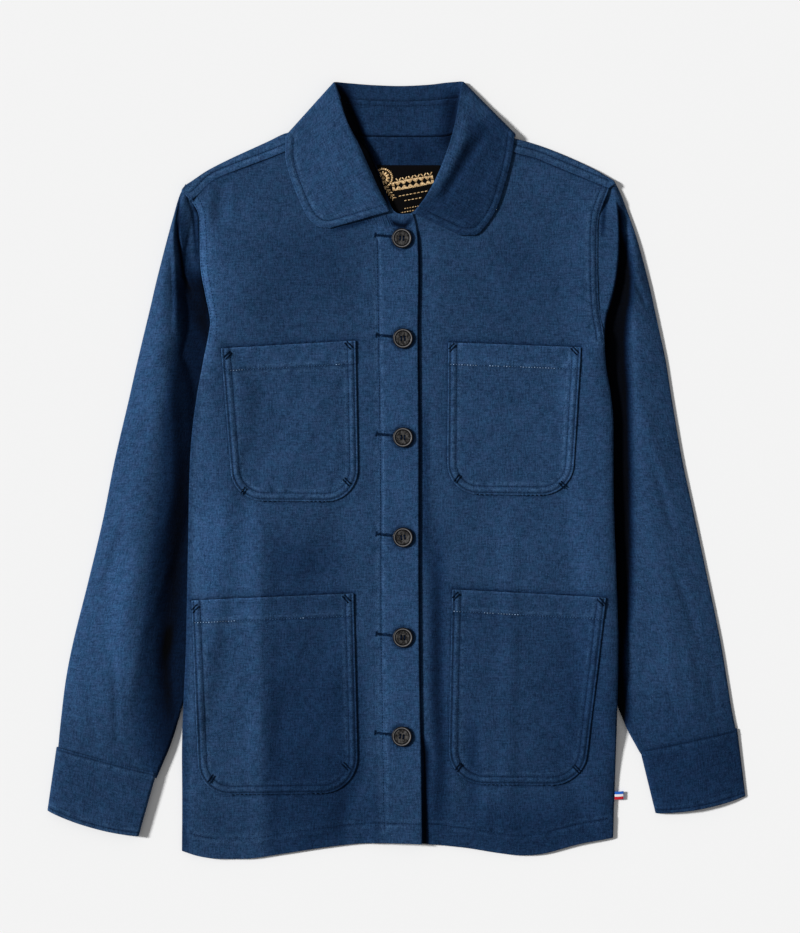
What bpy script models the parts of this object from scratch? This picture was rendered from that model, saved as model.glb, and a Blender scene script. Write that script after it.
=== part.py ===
"""Chore jacket, buttoned and laid flat on its back with its sleeves at its sides.

X runs to the right, towards the wearer's left side, Y towards the collar and Z up from the floor.
Lengths below are millimetres, and MM turns them into Blender's metres. Every piece of cloth is a
grid of points in the middle of its wall, which a Solidify modifier turns into the wall.
"""

import math
from collections import namedtuple

import bmesh
import bpy
import numpy as np
from mathutils import Vector
from mathutils.bvhtree import BVHTree

MM = 0.001

# Walls, and the gap that parts two layers or two sewn pieces.
CLOTH = 1.2
DOUBLE_CLOTH = 1.6
LABEL_CLOTH = 1.0
GAP = 0.3
LAYER = CLOTH + GAP

# Colours (linear), with roughness.
NAVY_TWILL = ((0.0152, 0.0409, 0.107, 1), 0.85)
LABEL_BLACK = ((0.008, 0.007, 0.006, 1), 0.6)
TAB_WHITE = ((0.7, 0.7, 0.68, 1), 0.7)
HORN = ((0.025, 0.018, 0.014, 1), 0.35)

# Side edges of the body, hem to shoulder, for the wearer's right (-X) and left (+X): (y, x).
SIDE_EDGE = {
    "right": (
        (-361, -209), (-283, -209), (-171, -205), (-78, -203), (25, -200), (71, -194.5),
        (108, -187.7), (141, -181.5), (171, -185.5), (192, -189), (232, -191.5), (251, -193.5),
        (263.5, -200.5), (280, -203.5),
    ),
    "left": (
        (-359, 211), (-283, 213.5), (-171, 215.5), (-102, 213.5), (-5, 210.7), (43, 210.7),
        (74, 208), (101, 203.5), (131, 201.5), (155, 197.5), (204, 195.5), (224, 195.5),
        (247, 197), (257, 200), (275.5, 207), (288, 209.5),
    ),
}

# Bottom edge of the body: (x, y).
HEM_EDGE = (
    (-209, -361), (-200, -373), (-172, -379.5), (-150, -379.5), (-114, -375), (-75, -369),
    (-36, -364.5), (3, -364), (62, -368), (101, -374), (120, -376), (140, -375), (179, -365),
    (211, -359),
)

# Front edge of the buttonhole side: (y, x). The button side runs on under it.
PLACKET_EDGE = ((-367, 26.8), (-166, 23.9), (29, 22.9), (224, 22.9), (240, 19.5), (248, 16.1))
UNDERLAP = 37

# Shoulder seam, then neckline, of each front: (x, y).
FRONT_TOP = {
    "right": (
        (-200.5, 263.5), (-193, 269.5), (-184, 279.5), (-174, 286), (-159, 292), (-110, 310.5),
        (-50, 336.5), (-40, 328), (-31, 318), (-24, 305), (-18, 292), (-10.5, 271),
        (-5.5, 256.5), (-2, 250.3), (16.1, 248.1),
    ),
    "left": (
        (-21, 247.3), (15, 250.5), (21, 256.5), (29, 267), (40, 287), (49.5, 309), (55.5, 325),
        (60, 337), (116.5, 310), (136, 305), (153, 298), (170, 291), (188, 283.5), (207, 275.5),
    ),
}

# Fold of the back over the shoulders, and its neckline between them: (x, y).
SHOULDER_FOLD = (
    (-203.5, 280), (-184, 292), (-165, 301.8), (-143, 312), (-123, 318.5), (-109, 321.5),
    (-80, 331), (-48, 341), (58, 341.5), (85, 333), (114.5, 323), (128, 319.5), (141, 315.5),
    (159, 308.6), (179, 299.8), (201, 288.8), (209.5, 284),
)
BACK_NECK = (
    (-41, 332.5), (-31, 325), (-22, 324), (5, 323.7), (30, 323.8), (36, 324.3), (44, 326),
    (52, 332.5),
)
NECK_COLUMNS = (-41, -31, -20, -4, 12, 28, 38, 47, 54)
SHOULDER_END = {"right": -50, "left": 60}

# Inner edge of each sleeve where it is tucked under the back: (y, x).
TUCKED_EDGE = {
    "right": (
        (-330, -252), (-296, -235), (-262, -220), (-210, -204), (-160, -196.5), (-98, -188),
        (-40, -180), (12, -172.5), (72, -166), (97, -174), (112, -186), (125, -200), (150, -222),
    ),
    "left": (
        (-330, 252), (-274, 238), (-259, 231), (-230, 213), (-137, 205), (-49, 198),
        (20, 193), (72, 187), (97, 190), (112, 201), (125, 216), (150, 238),
    ),
}
TUCK_LEDGE = 12
TUCK_SLOPE = 24
SLEEVE_RAISE = 2 * LAYER + GAP

# Where the back rises over the collar: from this Y, and this far to each side of its middle.
COLLAR_RAISE = DOUBLE_CLOTH + 2.5 * GAP
COLLAR_BED_Y = 294
COLLAR_BED_SLOPE = 19
COLLAR_MIDDLE_X = 4
COLLAR_BED_REACH = 140
COLLAR_BED_SIDE = 24

# Soft folds of the cloth, one a row: the line from a to b, the half width of the fold and its
# height, which is below zero in a valley.
Fold = namedtuple("Fold", "ax ay bx by half_width height")
FRONT_FOLDS = {
    "right": (
        Fold(-47, -25, -84, -128, 26, -1.5),
        Fold(-48, -128, -121, -274, 26, -1.6),
        Fold(-132, -20, -130, -370, 34, 0.7),
        Fold(-42, -305, -97, -360, 20, -1.2),
        Fold(-60, 78, -121, -19, 26, 0.8),
        Fold(-171, 292, -171, 238, 14, -0.9),
    ),
    "left": (
        Fold(32, 0, 43, -360, 17, -0.9),
        Fold(74, -244, 74, -303, 18, -0.8),
        Fold(153, -268, 190, -360, 20, -0.9),
        Fold(111, 97, 160, -19, 30, -0.7),
        Fold(80, 195, 101, 152, 16, -0.9),
    ),
}
SLEEVE_FOLDS = {
    "right": (
        Fold(-211.5, 262, -213, 227, 7, -2.4),
        Fold(-213, 227, -208, 190, 7, -2.6),
        Fold(-208, 190, -199, 171, 6, -2.0),
        Fold(-232, 120, -262, -60, 20, 0.5),
    ),
    "left": (
        Fold(215, 254, 220.5, 223, 7, -2.4),
        Fold(220.5, 223, 220, 190, 7, -2.8),
        Fold(220, 190, 213, 150, 8, -2.6),
        Fold(228, 192, 244, 158, 9, -1.6),
    ),
}

# Stand of the front over the back: at its side seam, at its armhole, along its shoulder and hem,
# in its middle, and where the other front passes between them at the buttons.
SEAM_FULLNESS = 0.5
ARMHOLE_FULLNESS = 1.9
SHOULDER_FULLNESS = 1.5
HEM_FULLNESS = 0.9
FULLNESS = {"right": 2.6, "left": 2.5}
PLACKET_FULLNESS = {"right": 3.1, "left": 1.6}

# Widths over which those values blend: at the side seam, from the hem, from the shoulder, up the
# armhole from its lowest point, and either side of the button line.
SIDE_ROUND = 12
HEM_BLEND = 30
SHOULDER_BLEND = 20
ARMHOLE_Y = 112
ARMHOLE_BLEND = 40
PLACKET_REACH = 40
PLACKET_BLEND = 14

# Spaces between the middles of two walls that are sewn edge to edge.
SEAM_SPACE = 0.6
COLLAR_SEAM_SPACE = 1.4

# How far the back's edges lie inside those of the fronts: at the sides, more of it from the
# armholes up, and at the hem.
BACK_INSET = 1.2
ARMHOLE_INSET = 2
ARMHOLE_INSET_Y = 225
ARMHOLE_INSET_BLEND = 20
HEM_INSET = 2

# Patch pockets: the corners that their edges run to, and the two lower corner radii.
Pocket = namedtuple("Pocket", "side top_left top_right low_right low_left round_left round_right")
POCKETS = {
    "pocket_chest_right": Pocket(
        "right", (-170, 117.5), (-40.5, 125), (-37.5, -31), (-158.5, -30), 28, 31
    ),
    "pocket_chest_left": Pocket(
        "left", (51.2, 123.3), (179, 118.5), (170.5, -25), (50, -23.5), 30, 30
    ),
    "pocket_hip_right": Pocket(
        "right", (-199, -128), (-42.5, -121.5), (-37.5, -315), (-191.5, -317), 30, 35
    ),
    "pocket_hip_left": Pocket(
        "left", (55, -117.5), (203, -125.3), (182, -307.5), (51, -306.5), 34, 30
    ),
}
POCKET_GAP = 0.5
POCKET_ACROSS = (0, 0.04, 0.11, 0.24, 0.4, 0.58, 0.76, 0.89, 0.96, 1)
POCKET_STRAIGHT_ROWS = 7
POCKET_ROUND_ROWS = 5

# A piece that lies on a panel takes the panel's greatest height within this reach.
REACH = 3.5

# Sections across each sleeve, from the shoulder to the cuff. A section runs from the outer fold
# to the inner edge, which lies tuck millimetres inside the side edge of the body, or outside it
# where tuck is below zero. The heights are those of the upper layer: its crest, the foot where it
# has come down again, and its inner edge. Crest and foot are fractions of the section's length.
Rung = namedtuple("Rung", "outer_x outer_y inner_y tuck crest crest_z foot foot_z inner_z")
SLEEVES = {
    "right": (
        Rung(-206.5, 278.5, 274, -0.7, 0.50, 4.2, 0.80, 4.1, 3.8),
        Rung(-212.5, 266.5, 263, -0.7, 0.45, 5.2, 0.80, 4.4, 3.8),
        Rung(-218.5, 246, 247, -0.7, 0.30, 6.4, 0.80, 5.0, 3.8),
        Rung(-224.5, 224, 222, -0.7, 0.30, 7.0, 0.80, 5.0, 3.8),
        Rung(-234.5, 185, 185, -0.7, 0.40, 7.8, 0.80, 4.4, 3.8),
        Rung(-241, 157, 152, -0.7, 0.48, 8.2, 0.80, 3.6, 3.7),
        Rung(-248, 128, 127, -0.7, 0.50, 8.6, 0.78, 2.9, 3.4),
        Rung(-251.5, 113, 114, -0.9, 0.50, 8.8, 0.76, 2.5, 2.1),
        Rung(-255.5, 96, 99, 13, 0.45, 9.0, 0.72, 2.1, 2.1),
        Rung(-262, 67, 72, 27, 0.43, 9.0, 0.66, 2.1, 2.1),
        Rung(-275.5, 9, 12, 27, 0.56, 9.0, 0.69, 2.1, 2.1),
        Rung(-287, -49, -40, 22.5, 0.59, 9.0, 0.74, 2.1, 2.1),
        Rung(-301, -108, -98, 15.4, 0.64, 8.8, 0.82, 2.1, 2.1),
        Rung(-315.5, -166, -160, 8, 0.71, 8.6, 0.88, 2.1, 2.1),
        Rung(-323.2, -205, -210, 2, 0.78, 8.4, 0.93, 2.3, 2.1),
        Rung(-328, -244, -262, -12, 0.80, 7.8, 0.94, 4.0, 2.4),
        Rung(-330.7, -271, -296, -26, 0.65, 6.8, 0.94, 4.6, 2.7),
    ),
    "left": (
        Rung(212.5, 282.5, 281, -0.7, 0.50, 4.2, 0.80, 4.1, 3.8),
        Rung(219, 270, 268, -0.9, 0.45, 5.2, 0.80, 4.6, 3.8),
        Rung(226.5, 250, 250, -1.1, 0.25, 6.4, 0.75, 5.4, 3.8),
        Rung(235.5, 224, 222, -0.7, 0.25, 7.2, 0.75, 5.4, 3.8),
        Rung(246, 185, 185, -0.7, 0.30, 7.8, 0.75, 5.0, 3.8),
        Rung(252.5, 156, 152, -0.7, 0.50, 8.2, 0.80, 4.2, 3.7),
        Rung(258.5, 128, 127, -0.7, 0.60, 8.6, 0.86, 3.0, 3.4),
        Rung(262, 113, 114, -0.9, 0.62, 8.8, 0.86, 2.5, 2.1),
        Rung(265, 96, 99, 9, 0.62, 9.0, 0.80, 2.1, 2.1),
        Rung(269.5, 67, 72, 19, 0.58, 9.0, 0.72, 2.1, 2.1),
        Rung(279.5, 9, 12, 17, 0.63, 9.0, 0.77, 2.1, 2.1),
        Rung(292, -49, -40, 13.5, 0.66, 9.0, 0.81, 2.1, 2.1),
        Rung(304.5, -108, -98, 11.5, 0.73, 8.8, 0.85, 2.1, 2.1),
        Rung(316.5, -166, -160, 8, 0.80, 8.6, 0.90, 2.1, 2.1),
        Rung(323, -205, -210, 4, 0.84, 8.4, 0.90, 2.1, 2.1),
        Rung(327.5, -233, -248, -10, 0.83, 7.8, 0.94, 3.4, 2.2),
        Rung(331.5, -253, -273, -24, 0.65, 6.8, 0.94, 4.6, 2.7),
    ),
}
SLEEVE_FLOOR = CLOTH / 2
SLEEVE_LEAST = SLEEVE_FLOOR + LAYER
SLEEVE_ROWS = 26

# Points round a sleeve as shares of its width from the outer fold: the lower layer inwards from
# its far edge, with its heights near the fold, then the upper layer with its rise to the crest.
SLEEVE_LOWER = np.array((1, 0.6, 0.2, 0.06, 0.02))
SLEEVE_UPPER = np.array((0, 0.02, 0.07, 0.15, 0.28, 0.42, 0.55, 0.67, 0.79, 0.9, 1))
SLEEVE_FOLD_Z = 2.6
SLEEVE_TURN = (0.02, 0.06)
SLEEVE_RISE = ((0.03, 0.5), (0.1, 0.74), (0.2, 0.9))
CREASE_FADE = {"outer": 0.2, "inner": 0.15}

# Cuffs: the outer and inner corner of the seam end and of the free end, and the crest heights.
Cuff = namedtuple("Cuff", "seam_outer seam_inner free_outer free_inner seam_z free_z")
CUFFS = {
    "right": Cuff((-331.4, -271.5), (-235, -296.5), (-340.2, -332.5), (-252, -357), 6.9, 5.4),
    "left": Cuff((332.1, -253.5), (238.4, -273.5), (340.2, -318.5), (253.5, -335), 6.9, 5.4),
}
CUFF_BOW = 4
CUFF_ROWS = 5

# Points round a cuff, as shares of its width: the lower layer, the folds, and the upper layer
# with its heights as shares of the crest's.
CUFF_LOWER = (0.97, 0.75, 0.5, 0.25, 0.03)
CUFF_FOLD = (0.008, 0.992)
CUFF_FOLD_Z = 1.6
CUFF_UPPER = (
    (0.008, 0.42), (0.04, 0.66), (0.14, 0.86), (0.3, 0.97), (0.5, 1), (0.7, 0.97), (0.86, 0.86),
    (0.96, 0.66), (0.992, 0.42),
)

# Sections across the collar, round the neck from the right front edge to the left one: the neck
# seam, the roll line with its height, and the outer edge. Under is 0 where the fall lies on the
# fronts and 1 where it lies under the back of the jacket, with the turn over the shoulder between.
Station = namedtuple("Station", "neck_x neck_y roll_x roll_y roll_z edge_x edge_y under")
COLLAR = (
    Station(-7.5, 254, -7.7, 252, 9.5, -64.8, 236, 0),
    Station(-9, 259.5, -11.2, 258, 11, -76.5, 238, 0),
    Station(-13, 271.5, -20, 271.5, 15, -86.3, 247, 0),
    Station(-21.5, 293, -32.7, 299, 19, -95, 265, 0),
    Station(-30, 311.5, -42.4, 321.6, 20, -103, 286, 0),
    Station(-38, 322.5, -52.2, 349, 17, -107.5, 306, 0),
    Station(-38.5, 330, -60, 375, 10, -106.9, 323.7, 0),
    Station(-38, 333, -60.9, 378.2, 6.5, -109.6, 326, 0.5),
    Station(-36, 332, -57.5, 377.8, 3.2, -106.9, 323.7, 1),
    Station(-30.5, 327.2, -45, 376.8, 1.75, -88, 322, 1),
    Station(-20, 325, -25, 375.2, 1.75, -45, 322, 1),
    Station(4, 324.6, 3, 374.2, 1.75, 3, 322, 1),
    Station(32, 325.2, 31, 375.4, 1.75, 50, 322.5, 1),
    Station(43, 328.4, 48, 377.4, 1.75, 93, 324, 1),
    Station(47, 333.5, 61.5, 378.4, 3.2, 114.2, 325.7, 1),
    Station(49.5, 336, 64.8, 378.8, 6.5, 116.6, 328.2, 0.5),
    Station(52.5, 336, 63.6, 374, 10, 114.2, 325.7, 0),
    Station(56.5, 329, 57.4, 341, 16, 112, 305, 0),
    Station(51.5, 309, 49.5, 313, 19, 106, 281, 0),
    Station(42, 287, 39.5, 287, 18, 98, 256.5, 0),
    Station(31, 267, 28.8, 267, 14.5, 87.3, 238.5, 0),
    Station(23.5, 257, 21, 256, 11, 75.6, 229, 0),
    Station(19.5, 252.5, 17.6, 250, 9.5, 62, 229, 0),
)

# Stations along the back of the neck, which is flat and needs no section between them.
FLAT_STATIONS = range(8, 14)

# The stand takes this share of the way up to the roll, stands clear of the fronts by so much,
# and lies at this height under the back. The roll's half turn is so long on either side of the
# roll line, but no more than its share of the stand. The fall lifts off the fronts at its edge.
STAND_SHARE = 0.71
STAND_CLEAR = 1.3
STAND_FLAT = 2.7
ROLL_FLAT = 1.75
ROLL_REACH = {"front": 3, "back": 1}
ROLL_SHARE = 0.4
ROLL_HANDLE = 0.7
ROUND_HANDLE = 4 / 3
ROLL_STEPS = (0.25, 0.5, 0.75, 1)
FALL_STEPS = (0.15, 0.4, 0.7, 1)
FALL_LIFT = 1.0
FALL_EASE = 1.3

# Buttons: their centres, and the turned profile (radius, height) from the middle of the dished
# face over the rim to the underside.
BUTTONS = ((4.4, 225.7), (5.4, 128.2), (5.4, 31.7), (5.4, -65.8), (5.4, -163.3), (4.4, -259.8))
BUTTON_PROFILE = (
    (0, 2.3), (7.1, 2.3), (8.3, 3), (9.1, 3.2), (10, 2.3), (9.2, 0.4), (7.6, 0), (0, 0),
)
BUTTON_SIDES = 16
BUTTON_FOOT = 8
BUTTON_SHARP = math.radians(35)
HOLE_RADIUS = 1.0
HOLE_SPACING = 3.4
HOLE_SIDES = 6
HOLE_DEPTH = 10

NECK_LABEL = {"left": -29.7, "right": 42.4, "bottom": 246.5, "top": 293}
FLAG_TAB = {"left": 212.9, "right": 221.4, "bottom": -322.3, "top": -314.6, "low": 1.0}

# Places of the grid lines: across a front from its side edge, up a front from its hem, up the
# back, and round its fold at the shoulders.
FRONT_ACROSS = (
    0, 0.012, 0.03, 0.06, 0.11, 0.17, 0.25, 0.33, 0.41, 0.49, 0.57, 0.64, 0.69, 0.75, 0.81, 0.87,
    0.93, 1,
)
FRONT_UP = (0, 0.02, *np.linspace(0.055, 0.66, 14), *np.linspace(0.69, 0.86, 8), 0.9, 0.94, 0.97, 1)
BACK_UP = (0, *np.linspace(0.04, 0.64, 10), *np.linspace(0.68, 0.86, 8), 0.9, 0.94, 0.97, 1)
BACK_FOLD_ROWS = 6

# The back's last rows at the neck: how far below the neckline they begin, and how far they go.
NECK_ROWS_BELOW = 10
NECK_ROWS_RUN = 8

# First guess for the Y of a grid row, and the rounds in which its X and Y settle.
PLAN_LOW = -365
PLAN_LENGTH = 650
SETTLING_ROUNDS = 6

MERGE = 0.00001
HIGH_ABOVE = 100


def ease(share):
    """0 to 1 with level ends."""
    share = np.clip(share, 0, 1)
    return share * share * (3 - 2 * share)


def through(stops, at):
    """Smooth curve through (position, value) stops, level past both ends, without overshoot."""
    place, value = np.array(stops, float).T
    slope = np.diff(value) / np.diff(place)
    tangent = np.concatenate(([slope[0]], (slope[1:] + slope[:-1]) / 2, [slope[-1]]))
    tangent[1:-1][slope[1:] * slope[:-1] <= 0] = 0
    at = np.clip(at, place[0], place[-1])
    k = np.clip(np.searchsorted(place, at, side="right") - 1, 0, len(slope) - 1)
    step = place[k + 1] - place[k]
    t = (at - place[k]) / step
    return (
        (1 + 2 * t) * (1 - t) ** 2 * value[k]
        + t * (1 - t) ** 2 * step * tangent[k]
        + t * t * (3 - 2 * t) * value[k + 1]
        - t * t * (1 - t) * step * tangent[k + 1]
    )


def relief(folds, x, y):
    """Sum of the folds at each (x, y)."""
    total = np.zeros(np.broadcast(x, y).shape)
    for fold in folds:
        run = np.array([fold.bx - fold.ax, fold.by - fold.ay])
        t = np.clip(((x - fold.ax) * run[0] + (y - fold.ay) * run[1]) / (run @ run), 0, 1)
        off = np.hypot(x - fold.ax - t * run[0], y - fold.ay - t * run[1]) / fold.half_width
        total += fold.height * (1 - np.minimum(off, 1) ** 2) ** 2
    return total


def side_x(side, y):
    return through(SIDE_EDGE[side], y)


def outward(side):
    """Direction of X that leads off the body at this side."""
    return -1 if side == "right" else 1


def back_height(x, y):
    """Middle of the back's wall: on the floor, over the tucked sleeves and over the collar."""
    raised = np.zeros(np.broadcast(x, y).shape)
    for side, edge in TUCKED_EDGE.items():
        inside = (through(edge, y) - x) * outward(side)
        raised = np.maximum(raised, 1 - ease((inside - TUCK_LEDGE) / TUCK_SLOPE))
    up = ease((y - COLLAR_BED_Y) / COLLAR_BED_SLOPE)
    collar = up * ease((COLLAR_BED_REACH - np.abs(x - COLLAR_MIDDLE_X)) / COLLAR_BED_SIDE)
    return CLOTH / 2 + np.maximum(SLEEVE_RAISE * raised, COLLAR_RAISE * collar)


def front_height(side, x, y):
    """Middle of a front's wall, over the back."""
    full = FULLNESS[side] + relief(FRONT_FOLDS[side], x, y)
    from_button_line = x - through(PLACKET_EDGE, y) + UNDERLAP / 2
    placket = ease((PLACKET_REACH - np.abs(from_button_line)) / PLACKET_BLEND)
    full = full + (PLACKET_FULLNESS[side] - full) * placket
    to_hem = y - through(HEM_EDGE, x)
    full = full + (HEM_FULLNESS - full) * (1 - ease(to_hem / HEM_BLEND)) * (1 - placket)
    to_shoulder = through(FRONT_TOP[side], x) - y
    near_shoulder = (1 - ease(to_shoulder / SHOULDER_BLEND)) * (1 - placket)
    full = full + (SHOULDER_FULLNESS - full) * near_shoulder
    armhole = ease((y - ARMHOLE_Y) / ARMHOLE_BLEND)
    edge = SEAM_FULLNESS + (ARMHOLE_FULLNESS - SEAM_FULLNESS) * armhole
    inward = np.clip((side_x(side, y) - x) * outward(side) / SIDE_ROUND, 0, 1)
    full = edge + (full - edge) * np.sqrt(1 - (1 - inward) ** 2)
    return back_height(x, y) + LAYER + full


def front_points(side):
    """Grid of a front: rows from the hem to the shoulder and neck, columns from side to edge."""
    across, up = np.meshgrid(FRONT_ACROSS, FRONT_UP)
    overlap = 0 if side == "right" else UNDERLAP
    y = PLAN_LOW + up * PLAN_LENGTH
    for _ in range(SETTLING_ROUNDS):
        start = side_x(side, y)
        x = start + (through(PLACKET_EDGE, y) - overlap - start) * across
        low = through(HEM_EDGE, x)
        y = low + (through(FRONT_TOP[side], x) - low) * up
    return np.stack([x, y, front_height(side, x, y)], -1)


def back_points(fronts):
    """Grid of the back: up from the hem, then over the shoulders to the fronts' seams.

    Its shoulder columns end where those of the fronts do. Columns that end at the neck have
    their last rows just below it instead.
    """
    seams = {side: points[-1] for side, points in fronts.items()}
    right = seams["right"][seams["right"][:, 0] < SHOULDER_END["right"]]
    left = seams["left"][seams["left"][:, 0] > SHOULDER_END["left"]][::-1]
    necks = np.array([(x, 0, 0) for x in NECK_COLUMNS])
    seam = np.concatenate([right, necks, left])
    top_x, seam_y, seam_z = seam.T
    across = (top_x - top_x[0]) / (top_x[-1] - top_x[0])
    neck = np.isin(top_x, NECK_COLUMNS)
    fold_y = np.where(neck, through(BACK_NECK, top_x), through(SHOULDER_FOLD, top_x))
    radius = (seam_z - back_height(top_x, fold_y)) / 2
    last_y = np.where(neck, fold_y - NECK_ROWS_BELOW, fold_y - radius)

    rows = []
    for up in BACK_UP:
        y = np.full(len(across), PLAN_LOW + up * PLAN_LENGTH)
        for _ in range(SETTLING_ROUNDS):
            at_armhole = ease((y - ARMHOLE_INSET_Y) / ARMHOLE_INSET_BLEND)
            inset = BACK_INSET + ARMHOLE_INSET * at_armhole
            left_x, right_x = side_x("right", y) + inset, side_x("left", y) - inset
            x = left_x + (right_x - left_x) * across
            low = through(HEM_EDGE, x) + HEM_INSET
            y = low + (last_y - low) * up
        rows.append(np.stack([x, y, back_height(x, y)], -1))
    for turn in np.linspace(0, 1, BACK_FOLD_ROWS)[1:]:
        angle = np.pi * (turn - 0.5)
        y = np.where(neck, last_y + NECK_ROWS_RUN * turn, last_y + radius * np.cos(angle))
        z = back_height(top_x, last_y) + np.where(neck, 0, radius * (1 + np.sin(angle)))
        rows.append(np.stack([top_x, y, z], -1))
    end_y = np.where(neck, fold_y, seam_y + SEAM_SPACE)
    rows.append(np.stack([top_x, end_y, rows[-1][:, 2]], -1))
    return np.array(rows)


def sleeve_points(side):
    """Grid of a sleeve: rows down the arm, columns round from the lower inner edge to the upper."""
    table = np.array(SLEEVES[side], float)
    stations = np.linspace(0, len(table) - 1, SLEEVE_ROWS)
    columns = [through(list(enumerate(column)), stations) for column in table.T]
    rung = Rung(*(column[:, None] for column in columns))
    outer = np.stack([rung.outer_x - CLOTH / 2 * outward(side), rung.outer_y], -1)
    inner_x = side_x(side, rung.inner_y) - outward(side) * rung.tuck
    inner = np.stack([inner_x, rung.inner_y], -1)

    share = np.concatenate([SLEEVE_LOWER, SLEEVE_UPPER])
    plan = outer + (inner - outer) * share[None, :, None]
    turn = (0, *SLEEVE_TURN, 1)
    fade = ease(SLEEVE_UPPER / CREASE_FADE["outer"])
    fade = fade * ease((1 - SLEEVE_UPPER) / CREASE_FADE["inner"])
    heights = []
    for k in range(len(stations)):
        crest, crest_z = rung.crest[k, 0], rung.crest_z[k, 0]
        fold_z = min(SLEEVE_FOLD_Z, crest_z / 2)
        profile = (
            (0, fold_z), *((place, crest_z * rise) for place, rise in SLEEVE_RISE),
            (crest, crest_z), (rung.foot[k, 0], rung.foot_z[k, 0]), (1, rung.inner_z[k, 0]),
        )
        under = np.interp(SLEEVE_LOWER, turn, (fold_z, CLOTH, SLEEVE_FLOOR, SLEEVE_FLOOR))
        over = through(profile, SLEEVE_UPPER)
        upper_plan = plan[k, len(SLEEVE_LOWER):]
        creases = relief(SLEEVE_FOLDS[side], upper_plan[:, 0], upper_plan[:, 1])
        over = np.maximum(over + creases * fade, np.minimum(over, SLEEVE_LEAST))
        heights.append(np.concatenate([under, over]))
    return np.concatenate([plan, np.array(heights)[..., None]], -1)


def cuff_points(side):
    """Grid of a cuff: rows from the seam to the free end, columns round the flattened tube."""
    cuff = CUFFS[side]
    down = np.array(cuff.free_outer) - np.array(cuff.seam_outer)
    down = down / np.hypot(*down)
    rows = []
    for along in np.linspace(0, 1, CUFF_ROWS):
        outer = np.array(cuff.seam_outer) * (1 - along) + np.array(cuff.free_outer) * along
        inner = np.array(cuff.seam_inner) * (1 - along) + np.array(cuff.free_inner) * along
        crest = cuff.seam_z * (1 - along) + cuff.free_z * along
        ring = [(share, DOUBLE_CLOTH / 2) for share in CUFF_LOWER]
        ring.append((CUFF_FOLD[0], CUFF_FOLD_Z))
        ring.extend((share, crest * rise) for share, rise in CUFF_UPPER)
        ring.append((CUFF_FOLD[1], CUFF_FOLD_Z))
        share, z = np.array(ring).T
        bow = CUFF_BOW * along * 4 * share * (1 - share)
        plan = outer + (inner - outer) * share[:, None] + down * bow[:, None]
        rows.append(np.column_stack([plan, z]))
    return np.array(rows)


def bezier(a, b, c, d, t):
    return a * (1 - t) ** 3 + 3 * b * t * (1 - t) ** 2 + 3 * c * t * t * (1 - t) + d * t**3


def collar_sections():
    """Points across the collar at each station: up the stand, round the roll, down the fall."""
    table = np.array(COLLAR, float)
    places = np.arange(len(table))
    between = [place + 0.5 for place in places[:-1] if place not in FLAT_STATIONS]
    stations = np.sort(np.concatenate([places, between]))
    station = Station(*(through(list(enumerate(column)), stations) for column in table.T))

    stand, fall = [], []
    for k in range(len(stations)):
        s = Station(*(column[k] for column in station))
        side = "right" if s.roll_x < COLLAR_MIDDLE_X else "left"
        on_front = front_height(side, s.neck_x, s.neck_y) + CLOTH / 2 + STAND_CLEAR
        neck = np.array([s.neck_x, s.neck_y, on_front + (STAND_FLAT - on_front) * s.under])
        over = front_height(side, s.edge_x, s.edge_y) + (CLOTH + DOUBLE_CLOTH) / 2 + GAP + FALL_LIFT
        edge = np.array([s.edge_x, s.edge_y, over + (DOUBLE_CLOTH / 2 - over) * s.under])
        roll = np.array([s.roll_x, s.roll_y, s.roll_z])
        rise = (roll - neck) / np.linalg.norm(roll - neck)
        drop = (edge - roll) / np.linalg.norm(edge - roll)
        reach = ROLL_REACH["front"] * (1 - s.under) + ROLL_REACH["back"] * s.under
        reach = min(reach, ROLL_SHARE * np.linalg.norm(roll - neck))
        half = (ROLL_FLAT - DOUBLE_CLOTH / 2) * s.under
        start = roll - rise * reach + np.array([0, 0, half])
        end = roll + drop * reach - np.array([0, 0, half])
        handle = max(ROLL_HANDLE * reach, ROUND_HANDLE * half)
        seam = neck + (start - neck) * STAND_SHARE
        gap = (start - neck) / np.linalg.norm(start - neck) * COLLAR_SEAM_SPACE / 2
        stand.append([neck, (neck + seam) / 2, seam - gap])
        row = [seam + gap, start]
        for t in ROLL_STEPS:
            row.append(bezier(start, start + rise * handle, end - drop * handle, end, t))
        for t in FALL_STEPS:
            point = end + (edge - end) * t
            point[2] = edge[2] + (end[2] - edge[2]) * (1 - t) ** FALL_EASE
            row.append(point)
        fall.append(row)
    return np.array(stand), np.array(fall)


def resting_on(cloth, x, y):
    """Height of a piece's upper face under each (x, y), the highest within a small reach."""
    tree = BVHTree.FromObject(cloth, bpy.context.evaluated_depsgraph_get())
    down = Vector((0, 0, -1))
    height = np.full(x.shape, -1.0)
    for step_x, step_y in ((0, 0), (REACH, 0), (-REACH, 0), (0, REACH), (0, -REACH)):
        for place in np.ndindex(x.shape):
            above = Vector((x[place] + step_x, y[place] + step_y, HIGH_ABOVE)) * MM
            hit = tree.ray_cast(above, down)[0]
            if hit:
                height[place] = max(height[place], hit.z / MM)
    return height


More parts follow.
